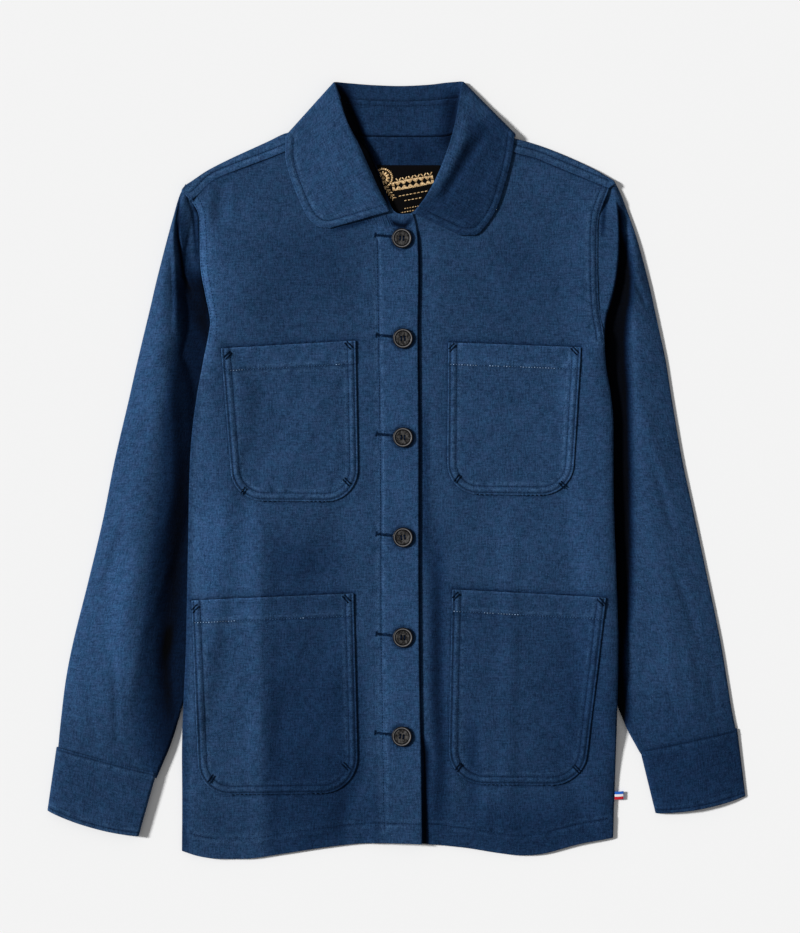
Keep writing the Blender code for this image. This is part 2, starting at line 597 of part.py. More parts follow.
def pocket_points(pocket, panel):
    """Grid of a patch pocket on its front: rows from the top down, columns from left to right."""
    depth = pocket.top_left[1] - pocket.low_left[1]
    rounding = max(pocket.round_left, pocket.round_right) / depth
    turn = np.linspace(0, np.pi / 2, POCKET_ROUND_ROWS)
    low_rows = 1 - rounding * (1 - np.sin(turn))
    straight_rows = np.linspace(0, 1 - rounding, POCKET_STRAIGHT_ROWS, endpoint=False)
    down = np.concatenate([straight_rows, low_rows])
    rows = []
    for share in down:
        left = np.array(pocket.top_left) * (1 - share) + np.array(pocket.low_left) * share
        right = np.array(pocket.top_right) * (1 - share) + np.array(pocket.low_right) * share
        insets = []
        for radius in (pocket.round_left, pocket.round_right):
            past = max(0, (share - 1) * depth + radius) / radius
            insets.append(radius * (1 - math.sqrt(max(0, 1 - past * past))))
        width = np.hypot(*(right - left))
        first, last = insets[0] / width, 1 - insets[1] / width
        spots = first + (last - first) * np.array(POCKET_ACROSS)
        rows.append([left + (right - left) * spot for spot in spots])
    plan = np.array(rows)
    z = resting_on(panel, plan[..., 0], plan[..., 1]) + POCKET_GAP + CLOTH / 2
    return np.concatenate([plan, z[..., None]], -1)


def material(name, finish):
    colour, roughness = finish
    made = bpy.data.materials.new(name)
    made.use_nodes = True
    shader = made.node_tree.nodes["Principled BSDF"]
    shader.inputs["Base Color"].default_value = colour
    shader.inputs["Roughness"].default_value = roughness
    shader.inputs["Metallic"].default_value = 0
    made.diffuse_color = colour
    return made


def add_object(name, mesh, finish, collection):
    made = bpy.data.objects.new(name, mesh)
    if not mesh.materials:
        mesh.materials.append(material(name, finish))
    collection.objects.link(made)
    return made


def add_cloth(name, points, wall, finish, collection, closed=False):
    """Cloth through a grid of points in the middle of its wall, closed round where asked."""
    rows, columns = points.shape[:2]
    if closed:
        points = np.concatenate([points, points[:, :1]], 1)
        columns += 1
    grid = bmesh.new()
    bmesh.ops.create_grid(grid, x_segments=columns - 1, y_segments=rows - 1, size=1)
    for vertex, point in zip(grid.verts, points.reshape(-1, 3)):
        vertex.co = point * MM
    if closed:
        bmesh.ops.remove_doubles(grid, verts=grid.verts, dist=MERGE)
    mesh = bpy.data.meshes.new(name)
    grid.to_mesh(mesh)
    grid.free()
    mesh.shade_smooth()
    made = add_object(name, mesh, finish, collection)
    shell = made.modifiers.new("Wall", "SOLIDIFY")
    shell.thickness = wall * MM
    shell.offset = 0
    return made


def button_mesh(collection, cutters):
    """Four-hole button with a raised rim, standing on its own origin."""
    outline = bpy.data.meshes.new("button_profile")
    points = [(radius * MM, 0, height * MM) for radius, height in BUTTON_PROFILE]
    outline.from_pydata(points, [(k, k + 1) for k in range(len(points) - 1)], [])
    blank = bpy.data.objects.new("button_blank", outline)
    collection.objects.link(blank)
    turn = blank.modifiers.new("Turn", "SCREW")
    turn.steps = turn.render_steps = BUTTON_SIDES
    turn.use_merge_vertices = True
    turn.merge_threshold = MERGE

    drill = bmesh.new()
    for across in (-1, 1):
        for along in (-1, 1):
            pin = bmesh.ops.create_cone(
                drill, cap_ends=True, segments=HOLE_SIDES, radius1=HOLE_RADIUS * MM,
                radius2=HOLE_RADIUS * MM, depth=HOLE_DEPTH * MM,
            )
            offset = Vector((across, along, 0)) * HOLE_SPACING / 2 * MM
            bmesh.ops.translate(drill, verts=pin["verts"], vec=offset)
    pins = bpy.data.meshes.new("button_holes")
    drill.to_mesh(pins)
    drill.free()
    cutter = bpy.data.objects.new("button_holes", pins)
    cutter.hide_render = True
    cutter.display_type = "WIRE"
    cutters.objects.link(cutter)
    holes = blank.modifiers.new("Holes", "BOOLEAN")
    holes.operation = "DIFFERENCE"
    holes.object = cutter

    graph = bpy.context.evaluated_depsgraph_get()
    mesh = bpy.data.meshes.new_from_object(blank.evaluated_get(graph))
    mesh.name = "button"
    bpy.data.objects.remove(blank)
    mesh.shade_smooth()
    mesh.set_sharp_from_angle(angle=BUTTON_SHARP)
    return mesh


def add_block(name, low, high, finish, collection):
    """Flat rectangular piece between two corners."""
    low, high = np.array(low) * MM, np.array(high) * MM
    block = bmesh.new()
    bmesh.ops.create_cube(block, size=1)
    bmesh.ops.scale(block, verts=block.verts, vec=Vector(high - low))
    mesh = bpy.data.meshes.new(name)
    block.to_mesh(mesh)
    block.free()
    made = add_object(name, mesh, finish, collection)
    made.location = Vector((low + high) / 2)
    return made


def build_jacket():
    for old in list(bpy.data.objects):
        bpy.data.objects.remove(old)
    jacket = bpy.data.collections.new("chore_jacket")
    cutters = bpy.data.collections.new("cutters")
    for collection in (jacket, cutters):
        bpy.context.scene.collection.children.link(collection)

    fronts = {side: front_points(side) for side in ("right", "left")}
    add_cloth("back", back_points(fronts), CLOTH, NAVY_TWILL, jacket)
    panels = {}
    for side, points in fronts.items():
        panels[side] = add_cloth(f"front_{side}", points, CLOTH, NAVY_TWILL, jacket)
        add_cloth(f"sleeve_{side}", sleeve_points(side), CLOTH, NAVY_TWILL, jacket)
        add_cloth(f"cuff_{side}", cuff_points(side), DOUBLE_CLOTH, NAVY_TWILL, jacket, closed=True)
    for name, pocket in POCKETS.items():
        points = pocket_points(pocket, panels[pocket.side])
        add_cloth(name, points, CLOTH, NAVY_TWILL, jacket)
    stand, fall = collar_sections()
    add_cloth("collar_stand", stand, DOUBLE_CLOTH, NAVY_TWILL, jacket)
    add_cloth("collar_fall", fall, DOUBLE_CLOTH, NAVY_TWILL, jacket)

    button = button_mesh(jacket, cutters)
    for number, place in enumerate(BUTTONS, 1):
        made = add_object(f"button_{number}", button, HORN, jacket)
        foot = BUTTON_FOOT
        spots = np.array([(0, 0), (foot, 0), (-foot, 0), (0, foot), (0, -foot)]) + place
        top = resting_on(panels["right"], spots[:, 0], spots[:, 1]).max()
        made.location = Vector((*place, top + GAP)) * MM

    label = NECK_LABEL
    bed = CLOTH + GAP
    add_block(
        "neck_label", (label["left"], label["bottom"], bed),
        (label["right"], label["top"], bed + LABEL_CLOTH), LABEL_BLACK, jacket,
    )
    tab = FLAG_TAB
    add_block(
        "side_flag_tab", (tab["left"], tab["bottom"], tab["low"]),
        (tab["right"], tab["top"], tab["low"] + LABEL_CLOTH), TAB_WHITE, jacket,
    )


build_jacket()
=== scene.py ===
"""Chore jacket laid flat on its back: its cloth, sewing, buttons and labels.

Lengths are millimetres, and MM turns them into metres. X runs to the right, towards the wearer's
left side, Y towards the collar and Z up. Each piece of cloth is a grid of points in the middle of
its wall, folded under along its finished edges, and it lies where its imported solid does.
"""

import math
from collections import namedtuple

import bmesh
import bpy
import numpy as np
from mathutils import Matrix, Vector
from mathutils.bvhtree import BVHTree


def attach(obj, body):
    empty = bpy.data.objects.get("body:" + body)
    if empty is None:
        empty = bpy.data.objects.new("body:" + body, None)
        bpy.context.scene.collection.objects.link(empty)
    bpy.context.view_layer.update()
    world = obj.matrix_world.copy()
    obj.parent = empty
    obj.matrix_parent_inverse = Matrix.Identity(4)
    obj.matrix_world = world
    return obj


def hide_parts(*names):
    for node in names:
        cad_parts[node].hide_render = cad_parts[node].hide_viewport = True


MM = 0.001

# ---------------------------------------------------------------------------------------------
# The jacket's own sizes, as its solids have them.
# ---------------------------------------------------------------------------------------------

CLOTH = 1.2
DOUBLE_CLOTH = 1.6
GAP = 0.3
LAYER = CLOTH + GAP

# Side edges of the body, hem to shoulder, for the wearer's right (-X) and left (+X): (y, x).
SIDE_EDGE = {
    "right": (
        (-361, -209), (-283, -209), (-171, -205), (-78, -203), (25, -200), (71, -194.5),
        (108, -187.7), (141, -182.3), (171, -187.2), (192, -191), (232, -193), (251, -194.5),
        (263.5, -200.5), (280, -203.5),
    ),
    "left": (
        (-359, 211), (-283, 213.5), (-171, 215.5), (-102, 213.5), (-5, 210.7), (43, 210.7),
        (74, 208), (101, 203.5), (131, 201.5), (155, 197.5), (204, 195.5), (224, 195.5),
        (247, 197), (257, 200), (275.5, 207), (288, 209.5),
    ),
}

# Bottom edge of the body: (x, y).
HEM_EDGE = (
    (-209, -372), (-192, -377), (-172, -379.5), (-150, -379.5), (-114, -375), (-75, -369),
    (-36, -364.5), (3, -364), (62, -368), (101, -374), (120, -376), (140, -375), (179, -365),
    (211, -359),
)

# Front edge of the buttonhole side: (y, x). The button side runs on under it.
PLACKET_EDGE = (
    (-367, 24.2), (-283, 23.2), (-225, 22.0), (-127, 21.0), (29, 20.8), (128, 20.1), (224, 19.9),
    (240, 18), (248, 15.8),
)
UNDERLAP = 37

# Shoulder seam, then neckline, of each front: (x, y).
FRONT_TOP = {
    "right": (
        (-200.5, 263.5), (-193, 269.5), (-184, 279.5), (-174, 286), (-159, 292), (-110, 310.5),
        (-50, 336.5), (-40, 328), (-31, 318), (-24, 305), (-18, 292), (-10.5, 271),
        (-5.5, 257), (-2, 251.8), (16.1, 249.6),
    ),
    "left": (
        (-21, 247.3), (15, 250.5), (21, 256.5), (29, 267), (40, 287), (49.5, 309), (55.5, 325),
        (60, 337), (116.5, 310), (136, 305), (153, 298), (170, 291), (188, 283.5), (207, 275.5),
    ),
}

# Fold of the back over the shoulders, and its neckline between them: (x, y).
SHOULDER_FOLD = (
    (-203.5, 280), (-184, 292), (-165, 301.8), (-143, 312), (-123, 321), (-109, 327.5),
    (-80, 333), (-48, 341), (58, 341.5), (85, 333), (114.5, 323), (128, 319.5), (141, 315.5),
    (159, 308.6), (179, 299.8), (201, 288.8), (209.5, 284),
)
BACK_NECK = (
    (-44, 330), (-36, 326.5), (-30.5, 325.2), (-20, 325), (4, 324.6), (32, 324.8), (43, 325),
    (51, 325.8), (57, 329),
)
SHOULDER_END = {"right": -50, "left": 60}

# Inner edge of each sleeve where it is tucked under the back: (y, x).
TUCKED_EDGE = {
    "right": (
        (-330, -252), (-296, -235), (-262, -220), (-210, -204), (-160, -196.5), (-98, -188),
        (-40, -180), (12, -172.5), (72, -166), (97, -174), (112, -186), (125, -200), (150, -222),
    ),
    "left": (
        (-330, 252), (-274, 238), (-259, 231), (-230, 213), (-137, 205), (-49, 198),
        (20, 193), (72, 187), (97, 190), (112, 201), (125, 216), (150, 238),
    ),
}
TUCK_LEDGE = 12
TUCK_SLOPE = 24
SLEEVE_RAISE = 2 * LAYER + GAP

# Where the back rises over the collar: from this Y, and this far to each side of its middle.
COLLAR_RAISE = DOUBLE_CLOTH + 2.5 * GAP
COLLAR_BED_Y = 294
COLLAR_BED_SLOPE = 19
COLLAR_MIDDLE_X = 4
COLLAR_BED_REACH = 140
COLLAR_BED_SIDE = 24

# Stand of the front over the back: at its side seam, at its armhole, along its shoulder and hem,
# in its middle, and where the other front passes between them at the buttons.
SEAM_FULLNESS = 0.2
ARMHOLE_FULLNESS = 1.9
SHOULDER_FULLNESS = 1.5
HEM_FULLNESS = 0.9
FULLNESS = {"right": 2.6, "left": 2.5}
PLACKET_FULLNESS = {"right": 3.1, "left": 1.6}

# Widths over which those values blend: at the side seam, from the hem, from the shoulder, up the
# armhole from its lowest point, and either side of the button line.
SIDE_ROUND = 12
HEM_BLEND = 30
SHOULDER_BLEND = 20
ARMHOLE_Y = 112
ARMHOLE_BLEND = 40
PLACKET_REACH = 40
PLACKET_BLEND = 14

SIDE_LIFT = {"right": (0.6, 30), "left": (4.4, 40)}
SIDE_LEDGE = 2
SIDE_LIFT_SPAN = (
    (-375, 0), (-300, 0.05), (-255, 0.35), (-200, 0.9), (-170, 1), (240, 1), (275, 0.35),
    (285, 0.2),
)
BACK_INSET = 1.2
ARMHOLE_INSET = 2
ARMHOLE_INSET_Y = 225
ARMHOLE_INSET_BLEND = 20
HEM_INSET = 2

# Patch pockets: the corners that their edges run to, and the two lower corner radii.
Pocket = namedtuple("Pocket", "side top_left top_right low_right low_left round_left round_right")
POCKETS = {
    "pocket_chest_right": Pocket(
        "right", (-170, 117.5), (-40.5, 125), (-37.5, -31), (-158.5, -30), 28, 31
    ),
    "pocket_chest_left": Pocket(
        "left", (51.2, 123.3), (179, 118.5), (170.5, -25), (50, -23.5), 30, 30
    ),
    "pocket_hip_right": Pocket(
        "right", (-199, -128), (-42.5, -121.5), (-37.5, -315), (-191.5, -317), 30, 35
    ),
    "pocket_hip_left": Pocket(
        "left", (55, -117.5), (203, -125.3), (182, -307.5), (51, -306.5), 34, 30
    ),
}

# Sections across each sleeve, from the shoulder to the cuff. A section runs from the outer fold
# to the inner edge, which lies tuck millimetres inside the side edge of the body, or outside it
# where tuck is below zero, and inner_z is the height of its upper layer there.
Rung = namedtuple("Rung", "outer_x outer_y inner_y tuck inner_z")
SLEEVES = {
    "right": (
        Rung(-206.5, 278.5, 274, -0.7, 3.8), Rung(-212.5, 266.5, 263, -0.7, 3.8),
        Rung(-218.5, 246, 247, -0.7, 3.8), Rung(-224.5, 224, 222, -0.7, 3.8),
        Rung(-234.5, 185, 185, -0.7, 3.8), Rung(-241, 157, 152, -0.7, 3.7),
        Rung(-248, 128, 127, -0.7, 3.4), Rung(-251.5, 113, 114, -0.9, 2.1),
        Rung(-255.5, 96, 99, 13, 2.1), Rung(-262, 67, 72, 27, 2.1),
        Rung(-275.5, 9, 12, 27, 2.1), Rung(-287, -49, -40, 22.5, 2.1),
        Rung(-301, -108, -98, 15.4, 2.1), Rung(-315.5, -166, -160, 8, 2.1),
        Rung(-323.2, -205, -210, 2, 2.3), Rung(-328, -244, -262, -12, 4.6),
        Rung(-330.7, -271, -296, -26, 5.4),
    ),
    "left": (
        Rung(212.5, 282.5, 281, -0.7, 3.8), Rung(219, 270, 268, -0.9, 3.8),
        Rung(226.5, 250, 250, -1.1, 3.8), Rung(235.5, 224, 222, -0.7, 3.8),
        Rung(246, 185, 185, -0.7, 3.8), Rung(252.5, 156, 152, -0.7, 3.7),
        Rung(258.5, 128, 127, -0.7, 3.4), Rung(262, 113, 114, -0.9, 2.1),
        Rung(265, 96, 99, 9, 2.1), Rung(269.5, 67, 72, 19, 2.1),
        Rung(279.5, 9, 12, 17, 2.1), Rung(292, -49, -40, 13.5, 2.1),
        Rung(304.5, -108, -98, 11.5, 2.1), Rung(316.5, -166, -160, 8, 2.1),
        Rung(323, -205, -210, 4, 2.1), Rung(327.5, -233, -248, -10, 2.2),
        Rung(331.5, -253, -273, -24, 2.7),
    ),
}
SLEEVE_FLOOR = CLOTH / 2
SLEEVE_LEAST = SLEEVE_FLOOR + LAYER
SLEEVE_FOLD_Z = {"right": 2.1, "left": 1.4}
SLEEVE_TURN = 0.06
CREASE_FADE = {"outer": 0.2, "inner": 0.15}

# Form of each sleeve's upper layer as it lies, down the arm: where its crest and its foot are, as
# fractions of the section from the outer fold, and their heights.
Form = namedtuple("Form", "y crest crest_z foot foot_z")
SLEEVE_FORM = {
    "right": (
        Form(-296, 0.6, 8.2, 0.94, 6.6), Form(-262, 0.45, 8.6, 0.93, 5.6),
        Form(-234, 0.38, 9.5, 0.86, 3.4), Form(-186, 0.38, 10.8, 0.8, 2.2),
        Form(-127, 0.38, 11.5, 0.77, 2.2), Form(-69, 0.38, 11.5, 0.78, 2.2),
        Form(-10, 0.36, 11.2, 0.86, 2.2), Form(48, 0.35, 11.5, 0.74, 2.2),
        Form(97, 0.34, 11.0, 0.68, 2.2), Form(136, 0.3, 11.0, 0.67, 2.4),
        Form(165, 0.22, 10.4, 0.6, 2.6), Form(194, 0.2, 9.6, 0.55, 3.0),
        Form(224, 0.25, 8.5, 0.7, 4.4), Form(247, 0.3, 7.8, 0.8, 5.0),
        Form(262, 0.45, 6.4, 0.8, 4.4), Form(274, 0.5, 5.0, 0.8, 4.1),
    ),
    "left": (
        Form(-273, 0.6, 6.8, 0.94, 4.4), Form(-248, 0.5, 7.0, 0.94, 3.4),
        Form(-210, 0.45, 6.8, 0.9, 2.3), Form(-160, 0.45, 6.8, 0.88, 2.1),
        Form(-98, 0.45, 6.8, 0.85, 2.1), Form(-40, 0.45, 6.8, 0.82, 2.1),
        Form(12, 0.42, 6.8, 0.79, 2.1), Form(72, 0.4, 6.6, 0.75, 2.1),
        Form(127, 0.4, 6.6, 0.75, 2.1), Form(152, 0.38, 6.8, 0.8, 2.4),
        Form(185, 0.35, 7.2, 0.8, 3.0), Form(222, 0.3, 7.4, 0.8, 3.2),
        Form(250, 0.3, 7.2, 0.8, 4.0), Form(268, 0.45, 5.4, 0.8, 4.2),
        Form(281, 0.5, 4.4, 0.8, 4.0),
    ),
}
FALL_BEND = {"right": 1.6, "left": 1.0}
FOOT_RUN = 0.3
SIDES = ("right", "left")

# Cuffs: the outer and inner corner of the seam end and of the free end, and the crest heights.
Cuff = namedtuple("Cuff", "seam_outer seam_inner free_outer free_inner seam_z free_z")
CUFFS = {
    "right": Cuff((-331.4, -271.5), (-235, -296.5), (-340.2, -332.5), (-252, -357), 8.2, 7.6),
    "left": Cuff((332.1, -253.5), (238.4, -273.5), (340.2, -318.5), (253.5, -335), 6.9, 5.4),
}
CUFF_BOW = 4
CUFF_RISE = {
    "right": (
        (0, 0.3), (0.008, 0.42), (0.04, 0.66), (0.14, 0.86), (0.3, 0.97), (0.5, 1), (0.7, 1),
        (0.86, 0.97), (0.96, 0.9), (0.992, 0.82), (1, 0.66),
    ),
    "left": (
        (0, 0.25), (0.008, 0.31), (0.04, 0.42), (0.14, 0.64), (0.3, 0.88), (0.5, 1), (0.7, 0.97),
        (0.86, 0.86), (0.96, 0.66), (0.992, 0.42), (1, 0.25),
    ),
}

# Sections across the collar, round the neck from the right front edge to the left one: the neck
# seam, the roll line with its height, and the outer edge. Under is 0 where the fall lies on the
# fronts and 1 where it lies under the back of the jacket, with the turn over the shoulder between.
Station = namedtuple("Station", "neck_x neck_y roll_x roll_y roll_z edge_x edge_y under")
COLLAR = (
    Station(-7.5, 254, -7.7, 252, 8.9, -64.8, 236, 0),
    Station(-9, 259.5, -11.2, 258, 9.6, -76.5, 238, 0),
    Station(-13, 271.5, -20, 271.5, 11.4, -86.3, 247, 0),
    Station(-21.5, 293, -32.7, 299, 13, -95, 265, 0),
    Station(-30, 311.5, -42.4, 321.6, 13.5, -103, 286, 0),
    Station(-41, 320, -52.2, 349, 12, -107.5, 306, 0),
    Station(-43.5, 326.5, -60, 375, 8, -107.2, 322, 0),
    Station(-41, 328, -60.9, 378.2, 5.5, -108.2, 325.4, 0.5),
    Station(-36, 326.3, -57.5, 377.8, 3.2, -106.9, 323.7, 1),
    Station(-30.5, 325.2, -45, 376.8, 1.75, -88, 322, 1),
    Station(-20, 325, -25, 375.2, 1.75, -45, 322, 1),
    Station(4, 324.6, 3, 374.2, 1.75, 3, 322, 1),
    Station(32, 324.8, 31, 375.4, 1.75, 50, 322.5, 1),
    Station(43, 325, 48, 377.4, 1.75, 93, 324, 1),
    Station(50, 325.6, 61.5, 378.4, 2.9, 114.2, 325.7, 1),
    Station(56, 328, 64.8, 378.8, 4.0, 115.6, 327.4, 0.5),
    Station(59.5, 328, 63.6, 374, 6.0, 114.4, 324, 0),
    Station(59, 323, 57.4, 341, 11, 112, 305, 0),
    Station(51.5, 309, 49.5, 313, 13, 106, 281, 0),
    Station(42, 287, 39.5, 287, 12.6, 98, 256.5, 0),
    Station(31, 267, 28.8, 267, 11.2, 87.3, 238.5, 0),
    Station(23.5, 257, 21, 256, 9.6, 75.6, 229, 0),
    Station(19.5, 252.5, 17.6, 250, 8.9, 62, 229, 0),
)
STAND_SHARE = 0.71
STAND_CLEAR = 1.3
STAND_FLAT = 2.7
ROLL_FLAT = 1.75
ROLL_REACH = {"front": 3, "back": 1}
ROLL_SHARE = 0.4
ROLL_HANDLE = 0.7
ROUND_HANDLE = 4 / 3
FALL_LIFT = 0.3
FALL_EASE = 1.3

BUTTONS = ((5.2, 225.3), (6.3, 127.8), (6.3, 31.3), (6.3, -66.2), (6.2, -163.7), (5.2, -260.2))

# ---------------------------------------------------------------------------------------------
# What the solids leave out: thin cloth, folded edges, creases and sewing.
# ---------------------------------------------------------------------------------------------

# One change of height or tone across a line: its amount, where it starts and over what width it is
# complete, or for a peak where it is and its half width. A width below zero turns it round.
Bend = namedtuple("Bend", "amount at width")

WALL = 0.6
COLLAR_WALL = 0.8
EDGE_FOLD = 0.36
EDGE_WEAR = 0.8
MERGE = 0.000002
FOLD_FADE = 0.85
RIDGE_OFFSET = 2.6
HIGH_ABOVE = 100

# Rows and columns of the grids: about how long they are, their step in the middle and at the two
# ends, and how fast the steps grow from there.
GRIDS = {
    "front_columns": (236, 2.5, 0.8, 1.0, 1.1),
    "front_rows": (650, 2.5, 0.8, 0.8, 1.1),
    "back_rows": (650, 5.5, 1.2, 2.0, 1.3),
    "sleeve_under": (88, 4.0, 2.0, 0.25, 1.5),
    "sleeve_over": (88, 2.125, 0.25, 0.7, 1.3),
    "cuff_rows": (62, 1.7, 0.5, 0.5, 1.25),
    "cuff_over": (100, 1.7, 0.25, 0.25, 1.3),
    "cuff_under": (100, 2.5, 0.4, 0.4, 1.5),
    "fall_columns": (70, 2.08, 1.2, 0.5, 1.2),
}
SLEEVE_CELL = 2.125
POCKET_CELLS = (1.7, 0.6, 1.7, 1.2)
POCKET_COLUMNS = (1.7, 0.6, 0.6, 1.2)
CUFF_LENGTH = 62
PLAN_LOW = -365
PLAN_LENGTH = 650
SETTLING_ROUNDS = 6

# The back's rows round its shoulder fold and on its strip, which laps over the front.
BACK_FOLD_ROWS = 10
NECK_ROWS_BELOW = 10
NECK_ROWS_RUN = 8
NECK_SPAN = (-44, 57)
NECK_COLUMNS = 26
STRIP_LAP = 0.5
NECK_UNDER = 5
NECK_SINK = Bend(1.2, -1.5, 2.5)
SHOULDER_TIPS = ((-8.5, 8), (5.5, 4.5))
SHOULDER_TIP_REACH = 15
STRIP_RISE = 0.6
STRIP_ROWS = 14

# Rounding of a sleeve near its outer fold, and the height that parts its two layers.
SLEEVE_ROUND = ((0.006, 0.08), (0.02, 0.15), (0.06, 0.24), (0.18, 0.42), (0.4, 0.68), (0.7, 0.91))
SLEEVE_MIDDLE_Z = 2.3

# Soft folds, one a row: its reach to the left of its line and to the right, its height (below
# zero in a valley), and the line.
Fold = namedtuple("Fold", "left right height line")
FRONT_FOLDS = {
    "right": (
        Fold(26, 26, -1.5, ((-47, -25), (-84, -128))),
        Fold(26, 26, -1.6, ((-48, -128), (-121, -274))),
        Fold(22, 16, 1.3, ((-134, -20), (-131, -370))),
        Fold(18, 18, -0.5, ((-116, -200), (-114, -372))),
        Fold(20, 20, -1.2, ((-42, -305), (-97, -360))),
        Fold(26, 26, 0.8, ((-60, 78), (-121, -19))),
        Fold(12, 12, -2.2, ((-171, 292), (-171, 238))),
        Fold(9, 9, 0.5, ((-186, 262), (-186, 236))),
        Fold(20, 20, -0.5, ((-20, 205), (-62, 160))),
        Fold(22, 22, 0.5, ((-168, 160), (-120, 196))),
        Fold(14, 14, -0.5, ((-196, 60), (-178, -60))),
        Fold(12, 12, 0.5, ((-200, -190), (-192, -330))),
        Fold(14, 14, 0.5, ((-150, -340), (-118, -372))),
        Fold(12, 12, 0.4, ((-70, -340), (-60, -366))),
        Fold(6, 4, 0.8, ((-14, 242), (7.3, 243), (18, 247))),
        Fold(3, 3, -0.9, ((-19, 240.8), (-11.7, 242), (-5.4, 239.9), (3, 237.2), (12, 242.8))),
    ),
    "left": (
        Fold(17, 17, -1.5, ((32, 0), (43, -360))),
        Fold(16, 18, -1.4, ((74, -220), (74, -350))),
        Fold(18, 20, -1.6, ((153, -250), (190, -362))),
        Fold(12, 14, 1.1, ((112, -40), (108, -372))),
        Fold(30, 30, -0.7, ((111, 97), (160, -19))),
        Fold(16, 16, -0.9, ((80, 195), (101, 152))),
        Fold(16, 16, 0.5, ((60, 240), (96, 208))),
        Fold(12, 12, -0.6, ((180, 262), (172, 214))),
        Fold(20, 20, 0.4, ((120, 262), (150, 226))),
        Fold(13, 13, -0.5, ((198, 60), (190, -40))),
        Fold(14, 14, 0.5, ((120, -330), (112, -372))),
        Fold(12, 12, -0.5, ((60, -332), (52, -364))),
    ),
}
SLEEVE_FOLDS = {
    "right": (
        Fold(
            2.6, 5, -4.6, ((-211.5, 266), (-213.5, 246), (-213, 227), (-208.5, 190), (-199.5, 171))
        ),
        Fold(3, 4.5, -1.7, ((-198.5, 262), (-196, 246), (-192.5, 215))),
        Fold(9, 4, 2.4, ((-219, 240), (-216, 205), (-214.5, 170), (-215, 130))),
        Fold(10, 7, 1.2, ((-222, 85), (-216.5, 40), (-216.5, -20), (-225, -58))),
        Fold(20, 20, 0.6, ((-232, 120), (-262, -60))),
        Fold(9, 6, -0.9, ((-238, 60), (-254, 20))),
        Fold(8, 6, -0.9, ((-262, -40), (-288, -120))),
        Fold(10, 8, 1.0, ((-236, -100), (-250, -170), (-262, -236))),
        Fold(7, 5, -1.1, ((-276, -180), (-272, -270))),
        Fold(6, 4, -0.9, ((-318, -228), (-312, -262))),
        Fold(5, 5, 0.9, ((-222, -90), (-240, -150))),
        Fold(5, 4, -0.8, ((-300, -236), (-292, -270))),
    ),
    "left": (
        Fold(5, 4, -1.2, ((228, 192), (236, 176), (244, 158))),
        Fold(9, 9, 0.8, ((236, 80), (262, -20))),
        Fold(7, 6, -1.0, ((250, 10), (272, -70))),
        Fold(8, 6, -1.0, ((268, -90), (296, -170))),
        Fold(8, 8, 0.9, ((282, -170), (292, -240))),
        Fold(5, 5, -0.9, ((306, -196), (312, -240))),
        Fold(5, 5, -0.9, ((262, -200), (276, -252))),
    ),
}

# Outer edge of the left sleeve's cap, where it drops into a deep fold: (y, x). Then the cap's
# height and how it slopes up to that edge, the drop, and the rise on the far side of the fold.
CAP_EDGE = {
    "left": (
        (120, 201.9), (136, 202.4), (150, 204.2), (165, 208.7), (192.6, 214.2), (222.8, 216.2),
        (254, 214.8), (276, 210),
    ),
}
CAP_START = 122
CAP_Z = 8.6
CAP_SLOPE = 0.5
CAP_REACH = 12
CAP_DROP = Bend(1, 0, 1.6)
CAP_RISE = Bend(1, 8, 13)
CAP_LOW = 2.2
CAP_SPAN = ((112, 0), (128, 1), (244, 1), (262, 0))

COLLAR_FOLDS = (
    Fold(9, 13, -3.2, ((85.3, 328), (64, 297), (41.4, 262.8))),
    Fold(12, 12, 1.0, ((100, 300), (88, 262))),
    Fold(7, 7, 1.4, ((62, 345), (52, 305), (38, 272))),
    Fold(12, 12, 1.0, ((-70, 336), (-48, 296))),
    Fold(10, 10, -0.6, ((-92, 300), (-80, 262))),
    Fold(5, 5, -0.8, ((58, 358), (60, 324))),
    Fold(14, 10, -0.7, ((-60, 300), (-40, 262))),
)
# Painted highlight along the ridge by the left leaf's roll and near its top, and painted shade in
# its trough.
COLLAR_SHADES = (
    Fold(10, 7, 1.1, ((66, 355), (59.5, 321.3), (46, 292), (30, 267.6))),
    Fold(9, 8, -0.45, ((86, 338), (77.5, 321.3), (60.5, 292), (42.4, 262.8))),
    Fold(14, 14, 0.6, ((62, 368), (90, 343))),
)
BACK_NECK_FOLDS = (
    Fold(2.2, 2.2, 0.5, ((4, 322), (5, 250))), Fold(5, 5, -0.3, ((-16, 322), (-20, 260))),
)

# Unevenness of each kind of cloth: the height of its lumps and their size, largest first, and
# where it starts in the draws.
WAVES = {
    "front": ((0.34, 46), (0.17, 19), (0.05, 8)),
    "facing": ((0.12, 28),),
    "strip": ((0.2, 26),),
    "sleeve": ((0.32, 30), (0.12, 12)),
    "cap": ((0.2, 16),),
    "cuff": ((0.25, 22), (0.12, 9)),
    "pocket": ((0.28, 30), (0.17, 12)),
    "fall": ((0.4, 26), (0.16, 10)),
    "stand": ((0.25, 20),),
    "label": ((0.18, 24),),
    "tab": ((0.1, 6),),
}
SEEDS = {
    "front": {"right": 3, "left": 8}, "sleeve": {"right": 40, "left": 50},
    "cuff": {"right": 60, "left": 70}, "facing": 31, "strip": 17, "cap": 46, "fall": 21,
    "stand": 23, "label": 90, "tab": 91, "pockets": 80, "buttons": 5, "shoulder_rows": 300,
    "front_rows": 310, "buttonholes": 330, "cuff_rows": 350, "leaf_rows": (370, 372),
    "stand_row": 371,
}

